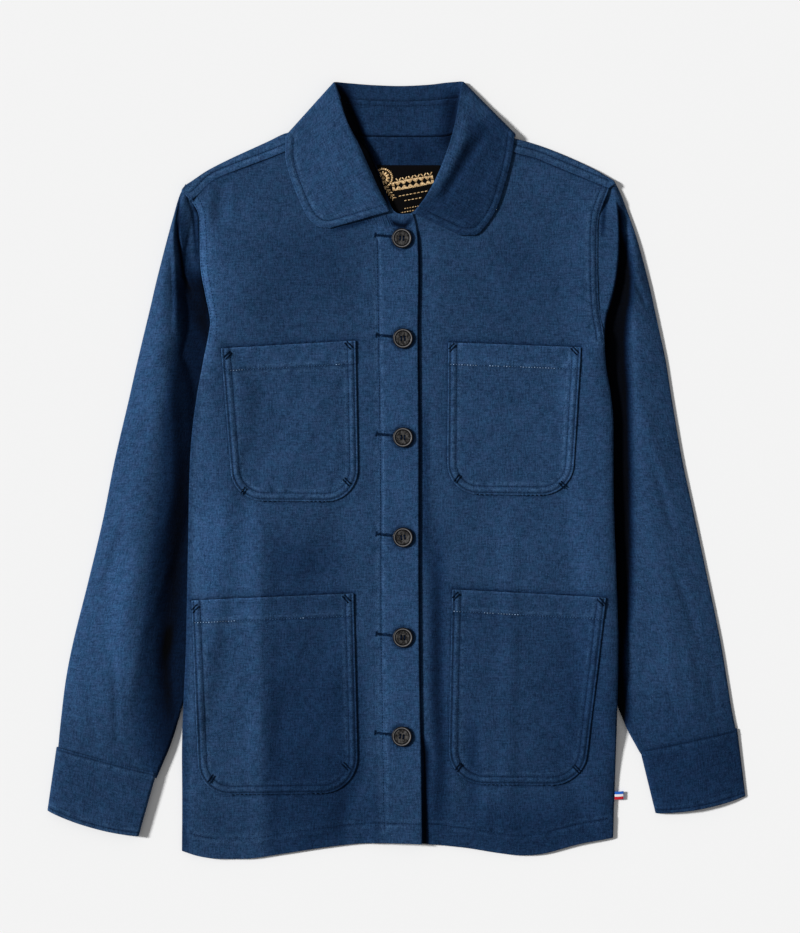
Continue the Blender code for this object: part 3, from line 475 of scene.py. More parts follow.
# Heights on the fronts: doubled cloth at the hem, the armhole and the facing, the swell and drop
# at the side edge, the lifted lower corner, and the dips under the buttons and the placket.
HEM_STEP = Bend(0.6, 18, 3)
ALLOWANCE_STEP = {"right": Bend(0.15, 7, 3), "left": Bend(0.6, 7, 3)}
ALLOWANCE_BLEND = 20
RIM_SWELL = {"right": Bend(1.0, 15, 40), "left": Bend(0.6, 15, 40)}
RIM_DROP = {"right": 2.2, "left": 0}
RIM_WIDTH = 9
FACING_STEP = Bend(0.35, 1, 3)
FACING_WAVES = Bend(1, 2, 8)
CORNER_DOWN = Bend(1, -250, -117)
CORNER_ACROSS = Bend(1, -14, 40)
CORNER_LIFT = 2.4
CORNER_POWER = 1.5
PLACKET_LIFT = Bend(0.5, -20, 30)
PLACKET_TOP = Bend(1, 235, -10)
BUTTON_DIMPLE = Bend(-0.7, 0, 9)
UNDERLAP_DIP = Bend(-0.7, 2, 5)
UNDERLAP_TOP = Bend(1, 235, -15)
STRIP_SINK = Bend(-0.75, 0, 3)

# Heights on the pockets, from their edge and from their top.
POCKET_ROUND_ROWS = 22
POCKET_STAND = 1.3
POCKET_MIDDLE = Bend(0.5, 8, 16)
POCKET_ALLOWANCE = Bend(0.3, 7.6, 2.5)
POCKET_HEM_STEP = Bend(0.45, 20, 2.2)
POCKET_MOUTH = Bend(0.5, 0, 22)
POCKET_MOUTH_BLEND = 30
POCKET_WAVES = Bend(1, 0, 9)
POCKET_RIDGE = Bend(0.35, 4.4, 2.2)

# The cuffs: how their folds round off, and how far their bumps and stitches stay off the folds.
CUFF_TURN = 0.03
CUFF_BUMP_EASE = 0.12
CUFF_ROW_EASE = 0.02
CUFF_STAND = 0.35
CUFF_EDGE_FOLD = 0.5

# Columns past a sleeve's inner edge: how far each is tucked in, its height (none where it lies
# TUCK_DROP below the edge) and its turn in degrees. Then the rows past its end, in the cuff.
SLEEVE_TUCKS = ((1.2, None, 60), (2.6, 3.4, 120), (5.0, 2.6, 180))
TUCK_DROP = 1.2
TUCK_BLEND = Bend(1, 108, 12)
TUCK_LEAST_Z = 2.6
SLEEVE_END_RUNS = (1.5, 3.2, 5.0)
SLEEVE_END_DROP = {"over": 0.36, "under": 0.27}

# The collar: its grid, how far the stand runs under the fall, and its heights.
COLLAR_CELL = 2.6
STAND_LAP = 1.2
STAND_CELLS = 14
ROLL_CELLS = 10
SEAM_COLUMNS = 60
LEAF_START = 8
ON_FALL = Bend(1, 0.3, 0.15)
PAST_SEAM = Bend(1, 0.12, 0.06)
LEAF_RIDGE = Bend(0.4, 3.2, 2.0)
LEAF_CALM = Bend(0.55, 0, 9)
FALL_SINK = 0.2
STAND_SINK = Bend(0.35, 0.9, 0.1)
# Painted shade at the stand's foot, by the neck seam.
STAND_FOOT_SHADE = Bend(0.75, 0, 0.06)
STAND_WEAR = 0.6
# Painted shade on the collar's left leaf, which slopes away from the key light, and a painted
# highlight on its right leaf.
LEAF_PAINTED_LIGHT = (Bend(-0.36, 4, 20), Bend(0.16, 4, -20))
# Painted shade on the collar inside the neck.
INNER_SHADE = 0.3
COLLAR_EDGE_FOLD = 0.46

# Sewing. Rows of stitches lie this far inside the edges that they follow.
STITCH = 2.1
STITCH_PITCH = 2.8
STITCH_WIDTH = 0.55
STITCH_HEIGHT = 0.3
# Each kind of sewn row: the dip of the cloth, half the width of its groove and its pucker.
SEWN = {
    "body": (0.36, 1.3, 0.16),
    "pocket": (0.55, 0.95, 0.18),
    "cuff": (0.25, 0.9, 0.14),
    "leaf": (0.45, 0.9, 0.2),
    "stand": (0.08, 1.0, 0.12),
}
# Stitches other than those of the body: their pitch, length, width and share of skipped ones.
POCKET_THREAD = (2.6, 1.9, 0.5)
HEM_THREAD = (2.7, 1.5, 0.85, 0.06)
CUFF_THREAD = (2.5, 1.8, 0.45)
ARMHOLE_ROWS = (1.6, 7.2)
POCKET_ROWS = (1.6, 7.6)
POCKET_HEM = 21
BODY_HEM = 19
SHOULDER_ROW = 6
COLLAR_ROW = 6.5
CUFF_SEAM_ROWS = (1.8,)
CUFF_END_ROW = 3
FACING_LINE = ((-19, 223.8), (-16, 31.7), (-15, -163), (-12.2, -351.5))

# Colours, linear.
NAVY_DARK = (0.0061, 0.0215, 0.056)
NAVY_LIGHT = (0.0265, 0.0690, 0.157)
NAVY_FADED = (0.054, 0.120, 0.235)
SEAM_DARK = (0.0022, 0.0080, 0.024)
# Bluer casts laid over painted shade, and over the deepest painted shade.
PAINTED_SHADE_CAST = (0.60, 0.82, 1.0)
DEEPEST_SHADE_CAST = (0.3, 0.75, 1.0)
THREAD = (0.0028, 0.0100, 0.029)
WORN_THREAD = (0.33, 0.50, 0.76)

# Soft spots painted darker or paler on the fronts: painted shade over the chest, low down and
# along the left front's side edge, painted highlight along the right front's side edge and
# armhole. And how much paler the placket is.
Spot = namedtuple("Spot", "x y reach_x reach_y tone")
PAINTED_LIGHT_SPOTS = (
    Spot(-105, 190, 60, 70, 0.82), Spot(125, 190, 60, 70, 0.84), Spot(-60, 215, 30, 40, 0.9),
    Spot(-97, -92, 46, 30, 0.72), Spot(110, -70, 50, 30, 1.06), Spot(-120, 250, 60, 20, 1.08),
    Spot(195, 40, 14, 120, 0.9), Spot(-172, -135, 20, 60, 1.26), Spot(-195, 40, 16, 90, 1.25),
    Spot(-180, -50, 30, 56, 1.32), Spot(-40, -335, 60, 50, 0.72), Spot(205, -240, 55, 90, 0.68),
    Spot(130, -352, 120, 42, 0.58), Spot(-187, 195, 22, 55, 1.4), Spot(60, -60, 26, 200, 0.95),
    Spot(-165, -345, 50, 48, 0.76), Spot(-154, -50, 22, 34, 1.18), Spot(-162, 195, 24, 60, 1.2),
)

# Long soft crease down the right front: painted highlight on its outer side and painted shade on
# its inner one.
CREASE_X = -131.5
CREASE_HIGHLIGHT = 0.3
CREASE_SHADE = 0.28
CREASE_DOWN = (Bend(1, -20, -70), Bend(0.6, -290, -50))
CREASE_LOW = (Bend(0.4, -30, -60), Bend(0.6, -150, -90))
HIGHLIGHT_SPAN = (Bend(1, -76, 14), Bend(1, -3, 5))
SHADE_SPAN = (Bend(1, -2, 16), Bend(1, 76, 12))
# Painted shade in folds of the fronts, beside the placket and low down, and the painted shadow of
# the collar's right leaf on the right front.
FRONT_SHADES = (
    Fold(18, 14, -0.42, ((40, -40), (39, -127), (39.5, -225), (43, -283), (39, -362))),
    Fold(8, 8, -0.25, ((39, -80), (39, -127), (39.5, -225), (44, -283), (39, -350))),
    Fold(8, 6, -0.4, ((27, 70), (28, -10), (28, -110))),
    Fold(14, 14, -0.3, ((-35, -170), (-38, -290), (-60, -345), (-97, -365))),
    Fold(12, 10, -0.25, ((74, -240), (74, -335))),
    Fold(4.5, 4, -0.6, ((-64, 233), (-35, 240.5), (-14, 247.5))),
)
PLACKET_TONE = 0.2
PLACKET_SPAN = (Bend(1, -2, 3), Bend(1, 36, 8))
# Painted shadow in a ring round each button.
BUTTON_SHADE = Bend(0.6, 0.8, 1.5)

# The right front's side edge: its calm sewing, its wear, and a painted highlight along it up the
# armhole and painted shade along it low down.
ARMHOLE_CALM = Bend(0.9, 10, 4)
SIDE_WEAR = Bend(0.35, 0, 14)
SIDE_LOW = Bend(1, 60, 60)
SIDE_HIGHLIGHT = Bend(0.18, 0, 11)
SIDE_SHADE = Bend(-0.42, 0, 7)

# Painted shadow beside the placket's edge, and what is added to it in the wedge where the two
# fronts part and at the top of that wedge.
EDGE_SHADE = Bend(0.88, 1, 1.7)
WEDGE_MORE = Bend(0.1, 2.4, 2.3)
WEDGE_TOP_MORE = Bend(0, 1.2, 1)
WEDGE = Bend(1, -256, -22)
WEDGE_TOP = Bend(1, -285, 28)
EDGE_SHADE_TOP = Bend(1, 238, -8)
# Painted shade along the crease under the fronts' neck edge, below the label, and where the painted
# shadow of the collar's rolls reaches onto the fronts.
NECK_EDGE_LINE = (
    (-19, 243.8), (-11.8, 242.6), (-4, 240.4), (3, 238.2), (8, 237.8), (12.5, 241.4), (15.5, 247.5),
)
NECK_EDGE_SHADES = (Fold(4, 4, -0.5, NECK_EDGE_LINE), Fold(11, 5, -0.45, NECK_EDGE_LINE))
NECK_FRONTS = Bend(1, 249, 8)
# Painted shade along the pockets' sewn edges, and painted shadow above their mouths.
POCKET_SHADES = (Bend(0.55, 0, 1.5),)
MOUTH_SHADES = (Bend(0.9, 0, 1.5), Bend(0.22, 0, 6))
# Painted shade on the fronts under the edge of the back's strip at the shoulders.
SEAM_SHADE = Bend(0.6, 1.2, 1.6)

# A pocket's wear, at the ends of its hem row and at its top corners, and its tones down from the
# top: the hem paler, painted shade under it, and paler along the edge of the mouth.
HEM_WEAR = Bend(1, 21, 2.4)
HEM_WEAR_SPAN = (0.8, 8.4)
CORNER_WEAR = Bend(0.6, 0, 5)
POCKET_WEAR = 1.5
GROOVE_KEPT = -0.3
HEM_TONE = Bend(0.1, 21, 1.5)
HEM_SHADE = Bend(-0.22, 23, 1.8)
MOUTH_EDGE_TONE = Bend(0.25, 0, 1.3)
POCKET_TONES = {"chest": 1.05, "hip": 0.84}
# Painted shade on the back inside the neck, under the collar: how deep, and where it starts up the
# back and across it. Then how much paler the right shoulder's strip is.
BACK_NECK_SHADE = 0.38
BACK_NECK_UP = Bend(1, 200, 30)
BACK_NECK_ACROSS = Bend(1, 70, -10)
STRIP_TONE = 1.22
# Painted light down each sleeve: painted highlight along most of the right sleeve, on the key
# light's side, and painted shade towards the cuffs.
SLEEVE_PAINTED_LIGHT = {
    "right": (
        (-296, 0.88), (-260, 0.94), (-225, 1.16), (-100, 1.25), (100, 1.25), (150, 1.14),
        (200, 1.02), (280, 0.92),
    ),
    "left": (
        (-273, 0.72), (-240, 0.77), (-220, 0.85), (-200, 0.9), (-60, 1.0), (60, 1.02), (200, 1.0),
    ),
}
# Painted shade along the sleeves' creases and by the armholes, and one painted highlight low on the
# right sleeve.
SLEEVE_SHADES = {
    "right": (
        Fold(3, 5, -0.75, ((-211.5, 268), (-213, 227), (-208.2, 190), (-199.8, 171))),
        Fold(5, 5, -0.6, ((-199, 264), (-194, 251))),
        Fold(7, 6, -0.55, ((-197, 258), (-194, 200))),
        Fold(13, 4, -0.7, ((-184, 120), (-188, 170), (-194, 200))),
        Fold(8, 9, -0.45, ((-209, 256), (-205, 205), (-200.5, 165), (-190, 135))),
        Fold(20, 20, 0.35, ((-262, -80), (-272, -150), (-266, -205))),
        Fold(15, 15, -0.75, ((-206, 30), (-208, -10), (-214, -69), (-218, -127), (-225, -186))),
        Fold(9, 10, -0.8, ((-221, -150), (-226, -186), (-221, -248))),
    ),
    "left": (Fold(4, 4, -0.6, ((205, 272), (202, 250), (200.5, 225))),),
}
# Painted shadow in the deep fold between each sleeve and the body: how dark, where it ends up the
# arm, how it grows across the fold and how wide it is down the left arm.
DEEP_SHADE = {"right": Bend(0.82, 175, 40), "left": Bend(0.98, 250, 12)}
DEEP_POWER = 1.2
DEEP_EDGE = Bend(1, -1, 2)
DEEP_FOLD = (
    (-260, 4), (-234, 7.5), (-185, 4.5), (-127, 10.5), (-69, 13.5), (-10, 14.5), (48, 13.5),
    (97, 18), (136, 19), (165, 16.5), (205, 9), (233, 1),
)
DEEP_RISE = 10
LEAST_PAINTED_BRIGHTNESS = 0.03
# Painted shade on the cuffs, deeper on the left one, away from the key light.
CUFF_PAINTED_SHADE = {"right": 0.85, "left": 0.59}
CUFF_SEAM_SHADE = Bend(0.2, 0, 0.8)
CUFF_END_WEAR = Bend(0.3, 1, 1 / 12)
# Painted shadow of the collar's rolls inside the neck, deepest in the wedge beside the right roll,
# and lighter painted shade across the back of the neck.
NECK_SHADES = (
    Fold(19, 9, -1.7, ((-61, 380), (-52, 350), (-42, 322), (-32.5, 299), (-20, 271), (-8, 253))),
    Fold(5, 22, -0.75, ((60, 372), (56, 330), (50, 308))),
    Fold(3, 3, -0.3, ((4, 322), (5, 255))),
    Fold(16, 16, -0.3, ((24, 322), (20, 296))),
)

# Buttons: the rings of the face from the outside in, each its width and how far it steps down
# (up below zero), the four holes, and the thread through them.
BUTTON_RADIUS = 9.8
BUTTON_DEPTH = 2.7
BUTTON_SIDES = 56
BUTTON_RINGS = (
    (0.7, 0.2), (1.1, 0), (0.35, -0.75), (0.7, 0), (0.4, 0.4), (1.2, -0.1), (1.6, -0.3), (1.6, -0.2),
)
BUTTON_STAND = 0.2
BUTTON_FACE = 1.75
HOLE_RADIUS = 1.1
HOLE_OFFSET = (1.65, 1.6)
HOLE_RUN = (26, 3.4)
HOLE_END = (5, 1.4)
THREAD_STRANDS = 3
THREAD_BOW = 0.5
THREAD_PITCH = 0.38
THREAD_PAST = 0.8
THREAD_SIZE = (0.5, 0.6)
BUTTON_ROUNDING = 0.3
BUTTON_CREASE = 38
BUTTON_TURN = 5
BUTTON_TILT = 1.2
HOLE_SIDES = 14
BAR_PITCH = 0.62
HORN_DARK = (0.007, 0.006, 0.006)
HORN_LIGHT = (0.075, 0.072, 0.07)
HORN_RIM = (0.18, 0.176, 0.182)

# Neck label and its design, which is worked in gold thread: a rosette, a slanted ribbon, dashes.
NECK_LABEL = {"left": -29.7, "right": 42.4, "bottom": 246.5, "top": 296.8}
LABEL_Z = 2.0
ROSETTE_CENTRE = (-13.0, 284.6)
ROSETTE_ROUNDS = ((0, 1.7, 6, 1.5), (2.4, 7.0, 12, 2.4), (7.8, 9.9, 30, 1.7))
BANNER_START = (-4.2, 276)
BANNER_SLANT = 10.5
BANNER_STITCHES = 50
BANNER_PITCH = 0.82
BANNER_HALF = 4.4
LOZENGE_PITCH = 5.9
DASH_ROWS = (
    (0.5, 283, 12, 3.1, 3.6, 1.4), (3.5, 267, 8, 3.7, 3.0, 1.0), (9, 262.6, 5, 3.6, 2.8, 1.0),
    (8.5, 254.8, 6, 2.6, 1.9, 0.9), (6, 251, 7, 2.6, 1.9, 0.9),
)
SPRIG_LEAVES = 5

# Striped tab in the left side seam.
FLAG_TAB = {"left": 212.9, "right": 221.4, "bottom": -322.3, "top": -314.6}
TAB_Z = 2.4
TAB_RED = (0.50, 0.010, 0.025)
TAB_WHITE = (0.78, 0.78, 0.78)
TAB_BLUE = (0.012, 0.11, 0.50)

# Bars at the pocket corners: their middles at the two ends of the top edge and on the two lower
# curves, then their slopes and length.
TACKS = {
    "pocket_chest_right": ((-164.3, 111.2), (-46.7, 121.2), (-149.2, -21.5), (-48.5, -12)),
    "pocket_chest_left": ((53.9, 118.9), (173.6, 115.7), (59.5, -8.8), (162.5, -15.6)),
    "pocket_hip_right": ((-196.2, -135.3), (-49, -126), (-180.3, -301.6), (-49.5, -289.5)),
    "pocket_hip_left": ((57.5, -123.5), (198.9, -128.5), (60.5, -290.4), (175.6, -292)),
}
TACK_ANGLES = (46, -48, 56, -46)
TACK_LENGTH = 9.0
TACK_WIDTH = 1.5
TACK_SPACE = 2.6

# Where the rows along the pockets' hems are worn white: from X to X.
WORN_SPANS = {
    "pocket_chest_right": ((-163, -148), (-60, -54)),
    "pocket_chest_left": ((50, 80), (86, 112), (120, 156)),
    "pocket_hip_right": ((-200, -156), (-96, -90)),
    "pocket_hip_left": ((52, 62), (85, 120)),
}

# The studio: where the camera stands, and its light.
FLOOR_SIZE = 8
CAMERA_CENTRE = (3.4, 2.9)
CAMERA_HEIGHT = 2533
CAMERA_LENS = 100
KEY_FROM = (-0.86, 0.20, 0.55)
KEY_SPREAD = 9
KEY_STRENGTH = 4.45
FILL_COLOUR = (1.0, 1.0, 1.0)
FILL_STRENGTH = 0.25


def ease(share):
    """0 to 1 with level ends."""
    share = np.clip(share, 0, 1)
    return share * share * (3 - 2 * share)


def rises(bend, at):
    """A bend's amount past its start, complete a width further on."""
    return bend.amount * ease((at - bend.at) / bend.width)


def falls(bend, at):
    """A bend's amount before its start, gone a width further on."""
    return bend.amount * (1 - ease((at - bend.at) / bend.width))


def peaks(bend, at):
    """A bend's amount at its place, fading to both sides."""
    return bend.amount * np.exp(-(((at - bend.at) / bend.width) ** 2))


def within(span, at):
    """Rises at the first of two bends and falls at the second."""
    return rises(span[0], at) * falls(span[1], at)


def blend(a, b, share):
    """From a where the share is 0 to b where it is 1."""
    return a + (b - a) * share


def off_ends(share, first, last):
    """0 at the two ends of a span from 0 to 1, and 1 this far inside them."""
    return ease(share / first) * ease((1 - share) / last)


def rounded(low, high, away):
    """From high at a fold down to low, round like a quarter of a circle."""
    return low + (high - low) * (1 - np.sqrt(1 - (1 - np.clip(away, 0, 1)) ** 2))


def through(stops, at):
    """Smooth curve through (position, value) stops, level past both ends, without overshoot."""
    place, value = np.array(stops, float).T
    slope = np.diff(value) / np.diff(place)
    tangent = np.concatenate(([slope[0]], (slope[1:] + slope[:-1]) / 2, [slope[-1]]))
    tangent[1:-1][slope[1:] * slope[:-1] <= 0] = 0
    at = np.clip(at, place[0], place[-1])
    k = np.clip(np.searchsorted(place, at, side="right") - 1, 0, len(slope) - 1)
    step = place[k + 1] - place[k]
    t = (at - place[k]) / step
    return (
        (1 + 2 * t) * (1 - t) ** 2 * value[k]
        + t * (1 - t) ** 2 * step * tangent[k]
        + t * t * (3 - 2 * t) * value[k + 1]
        - t * t * (1 - t) * step * tangent[k + 1]
    )


def beside(line, x, y):
    """Distance of each (x, y) from a polyline, how far along it the nearest point is, and
    whether it lies to the left of the line."""
    line = np.array(line, float)
    nearest, run = np.full(x.shape, 1e9), np.zeros(x.shape)
    left = np.zeros(x.shape, bool)
    start = 0.0
    for a, b in zip(line[:-1], line[1:]):
        step = b - a
        length = np.hypot(*step)
        dx, dy = x - a[0], y - a[1]
        t = np.clip((dx * step[0] + dy * step[1]) / length**2, 0, 1)
        away = np.hypot(dx - t * step[0], dy - t * step[1])
        closer = away < nearest
        nearest[closer] = away[closer]
        run[closer] = (start + t * length)[closer]
        left[closer] = (step[0] * dy > step[1] * dx)[closer]
        start += length
    return nearest, run, left


def relief(folds, x, y):
    """Sum of the folds at each (x, y)."""
    x, y = np.broadcast_arrays(np.asarray(x, float), np.asarray(y, float))
    total = np.zeros(x.shape)
    for fold in folds:
        away, run, left = beside(fold.line, np.atleast_1d(x), np.atleast_1d(y))
        length = np.hypot(*np.diff(np.array(fold.line, float), axis=0).T).sum()
        off = np.minimum(away / np.where(left, fold.left, fold.right), 1)
        fade = 1 - FOLD_FADE * np.abs(2 * run / length - 1) ** 4
        total += (fold.height * fade * (1 - off**2) ** 2).reshape(x.shape)
    return total


def uneven(x, y, size, seed):
    """Soft waviness of cloth between about -1 and 1, in lumps of about this size."""
    draw = np.random.default_rng(seed)
    total = np.zeros(np.broadcast(x, y).shape)
    for _ in range(10):
        angle, length = draw.uniform(0, 2 * np.pi), size * draw.uniform(1.1, 2.8)
        along = x * math.cos(angle) + y * math.sin(angle)
        total += np.sin(2 * np.pi * along / length + draw.uniform(0, 2 * np.pi))
    return total / 3.5


def waves(kind, x, y, seed):
    """Unevenness of one kind of cloth."""
    sizes = enumerate(WAVES[kind])
    return sum(height * uneven(x, y, size, seed + k) for k, (height, size) in sizes)


def spaced(length, step, first, last, growth):
    """Shares of a length from 0 to 1, a step apart and closer together at its two ends."""
    ends = []
    for size in (first, last):
        run = [0.0]
        while size < step:
            run.append(run[-1] + size)
            size *= growth
        ends.append(np.array(run))
    middle = length - ends[0][-1] - ends[1][-1]
    count = max(2, math.ceil(middle / step) + 1)
    between = np.linspace(ends[0][-1], length - ends[1][-1], count)
    return np.concatenate([ends[0], between[1:-1], length - ends[1][::-1]]) / length


def resampled(line, step):
    """The polyline again, with points about a step apart."""
    line = np.array(line, float)
    run = np.concatenate([[0], np.cumsum(np.hypot(*np.diff(line, axis=0).T[:2]))])
    at = np.linspace(0, run[-1], max(2, round(run[-1] / step) + 1))
    return np.stack([np.interp(at, run, column) for column in line.T], -1)


def inset(line, distance):
    """The polyline moved to its left by a distance, which is below zero to its right."""
    line = np.array(line, float)
    ahead = np.gradient(line, axis=0)
    ahead /= np.linalg.norm(ahead, axis=1)[:, None]
    return line + np.stack([-ahead[:, 1], ahead[:, 0]], -1) * distance


def sewn(lines, x, y, kind="body"):
    """Dip and puckers of the cloth along rows of stitches, and how worn it is beside them: above
    zero on the ridges to both sides, below zero in the groove."""
    depth, width, pucker = SEWN[kind]
    dip, wear, groove = np.zeros((3, *x.shape))
    for number, line in enumerate(lines):
        away, run, _ = beside(resampled(line, 6), x, y)
        gather = np.sin(2 * np.pi * run / 4.6 + 2.2 * np.sin(run / 17 + number) + 3 * number)
        gather *= 0.6 + 0.4 * np.sin(run / 11 + 2 * number)
        dip += pucker * gather * np.exp(-((away / 4) ** 2)) - depth * np.exp(-((away / width) ** 2))
        wear = np.maximum(wear, np.exp(-(((away - RIDGE_OFFSET) / 1.7) ** 2)))
        groove = np.maximum(groove, np.exp(-((away / 1.1) ** 2)))
    return dip, wear * (1 - groove) - groove


def side_x(side, y):
    return through(SIDE_EDGE[side], y)


def outward(side):
    """Direction of X that leads off the body at this side."""
    return -1 if side == "right" else 1


def from_side(side, x, y):
    """How far a point lies inside the body's side edge."""
    return (side_x(side, y) - x) * outward(side)


def side_lift(x, y):
    """How much higher the body's two side edges stand off the sleeves than they need to."""
    lift = np.zeros(np.broadcast(x, y).shape)
    for side, (height, reach) in SIDE_LIFT.items():
        ledge = Bend(height, SIDE_LEDGE, reach)
        lift = lift + through(SIDE_LIFT_SPAN, y) * falls(ledge, from_side(side, x, y))
    return lift


def back_height(x, y):
    """Middle of the back's wall: on the floor, over the tucked sleeves and over the collar."""
    raised = np.zeros(np.broadcast(x, y).shape)
    for side, edge in TUCKED_EDGE.items():
        inside = (through(edge, y) - x) * outward(side)
        raised = np.maximum(raised, 1 - ease((inside - TUCK_LEDGE) / TUCK_SLOPE))
    up = ease((y - COLLAR_BED_Y) / COLLAR_BED_SLOPE)
    collar = up * ease((COLLAR_BED_REACH - np.abs(x - COLLAR_MIDDLE_X)) / COLLAR_BED_SIDE)
    level = np.maximum(SLEEVE_RAISE * raised, COLLAR_RAISE * collar)
    return CLOTH / 2 + level + side_lift(x, y)


def front_height(side, x, y):
    """Middle of a front's wall, over the back."""
    full = FULLNESS[side] + relief(FRONT_FOLDS[side], x, y)
    full = full + waves("front", x, y, SEEDS["front"][side])
    from_button_line = x - through(PLACKET_EDGE, y) + UNDERLAP / 2
    placket = ease((PLACKET_REACH - np.abs(from_button_line)) / PLACKET_BLEND)
    full = blend(full, PLACKET_FULLNESS[side], placket)
    near_hem = 1 - ease((y - through(HEM_EDGE, x)) / HEM_BLEND)
    full = blend(full, HEM_FULLNESS, near_hem * (1 - placket))
    near_shoulder = 1 - ease((through(FRONT_TOP[side], x) - y) / SHOULDER_BLEND)
    full = blend(full, SHOULDER_FULLNESS, near_shoulder * (1 - placket))
    edge = blend(SEAM_FULLNESS, ARMHOLE_FULLNESS, ease((y - ARMHOLE_Y) / ARMHOLE_BLEND))
    inward = np.clip(from_side(side, x, y) / SIDE_ROUND, 0, 1)
    full = blend(edge, full, np.sqrt(1 - (1 - inward) ** 2))
    return back_height(x, y) + LAYER + full


# ---------------------------------------------------------------------------------------------
# Finishes.
# ---------------------------------------------------------------------------------------------


class Value:
    """One output of a finish's nodes, worked with as a number."""

    def __init__(self, finish, socket):
        self.finish = finish
        self.socket = socket

    def __add__(self, other):
        return self.finish.maths("ADD", self, other)

    def __sub__(self, other):
        return self.finish.maths("SUBTRACT", self, other)

    def __rsub__(self, other):
        return self.finish.maths("SUBTRACT", other, self)

    def __mul__(self, other):
        return self.finish.maths("MULTIPLY", self, other)

    def above(self, other):
        return self.finish.maths("GREATER_THAN", self, other)

    def between(self, low, high):
        """0 at low and 1 at high, held to that range and level at both ends."""
        limits = {"From Min": low, "From Max": high}
        return self.finish.node(
            "ShaderNodeMapRange", {"interpolation_type": "SMOOTHSTEP"}, {"Value": self, **limits}
        )


SOCKET_NAMES = {
    "colour": "Base Color", "roughness": "Roughness", "sheen": "Sheen Weight",
    "sheen_tint": "Sheen Tint", "gloss": "Specular IOR Level",
}


class Finish:
    """A material, with what is the same all over it set on its shader."""

    def __init__(self, name, **constants):
        self.material = bpy.data.materials.new(name)
        self.material.use_nodes = True
        self.tree = self.material.node_tree
        self.shader = self.tree.nodes["Principled BSDF"]
        for socket, value in constants.items():
            self.shader.inputs[SOCKET_NAMES[socket]].default_value = value

    def node(self, kind, settings, inputs, output=0):
        made = self.tree.nodes.new(kind)
        for name, value in settings.items():
            setattr(made, name, value)
        for name, value in inputs.items():
            if isinstance(value, Value):
                self.tree.links.new(value.socket, made.inputs[name])
            else:
                made.inputs[name].default_value = value
        return Value(self, made.outputs[output])

    def maths(self, operation, a, b):
        return self.node("ShaderNodeMath", {"operation": operation}, {0: a, 1: b})

    def mixed(self, share, a, b, blend="MIX"):
        """Colour a where the share is 0 and b where it is 1."""
        a = a if isinstance(a, Value) else (*a, 1)
        b = b if isinstance(b, Value) else (*b, 1)
        settings = {"data_type": "RGBA", "blend_type": blend}
        return self.node("ShaderNodeMix", settings, {0: share, 6: a, 7: b}, 2)

    def place(self, stretch=(1, 1, 1), shift=(0, 0, 0)):
        """Where a point is on the cloth as it was cut, in metres, stretched and moved."""
        cut = self.node("ShaderNodeUVMap", {"uv_map": "cloth"}, {})
        spots = {"Vector": cut, "Location": shift, "Scale": stretch}
        return self.node("ShaderNodeMapping", {}, spots)

    def inside(self, stretch=(1, 1, 1)):
        """Where a point is in the object, in metres."""
        spot = self.node("ShaderNodeTexCoord", {}, {}, "Object")
        return self.node("ShaderNodeMapping", {}, {"Vector": spot, "Scale": stretch})

    def speckle(self, place, size, detail=2.0, roughness=0.5):
        """Noise from 0 to 1 with lumps of about this size in millimetres."""
        grain = {"Vector": place, "Scale": 1 / (size * MM), "Detail": detail, "Roughness": roughness}
        return self.node("ShaderNodeTexNoise", {}, grain)

    def attribute(self, name):
        return self.node("ShaderNodeAttribute", {"attribute_name": name}, {}, "Fac")

    def colour(self, value):
        self.tree.links.new(value.socket, self.shader.inputs["Base Color"])

    def rough(self, value):
        self.tree.links.new(value.socket, self.shader.inputs["Roughness"])

    def bump(self, height, strength, distance):
        settings = {"Height": height, "Strength": strength, "Distance": distance * MM}
        normal = self.node("ShaderNodeBump", {}, settings)
        self.tree.links.new(normal.socket, self.shader.inputs["Normal"])


def shaded(colour, factor):
    return tuple(channel * factor for channel in colour)


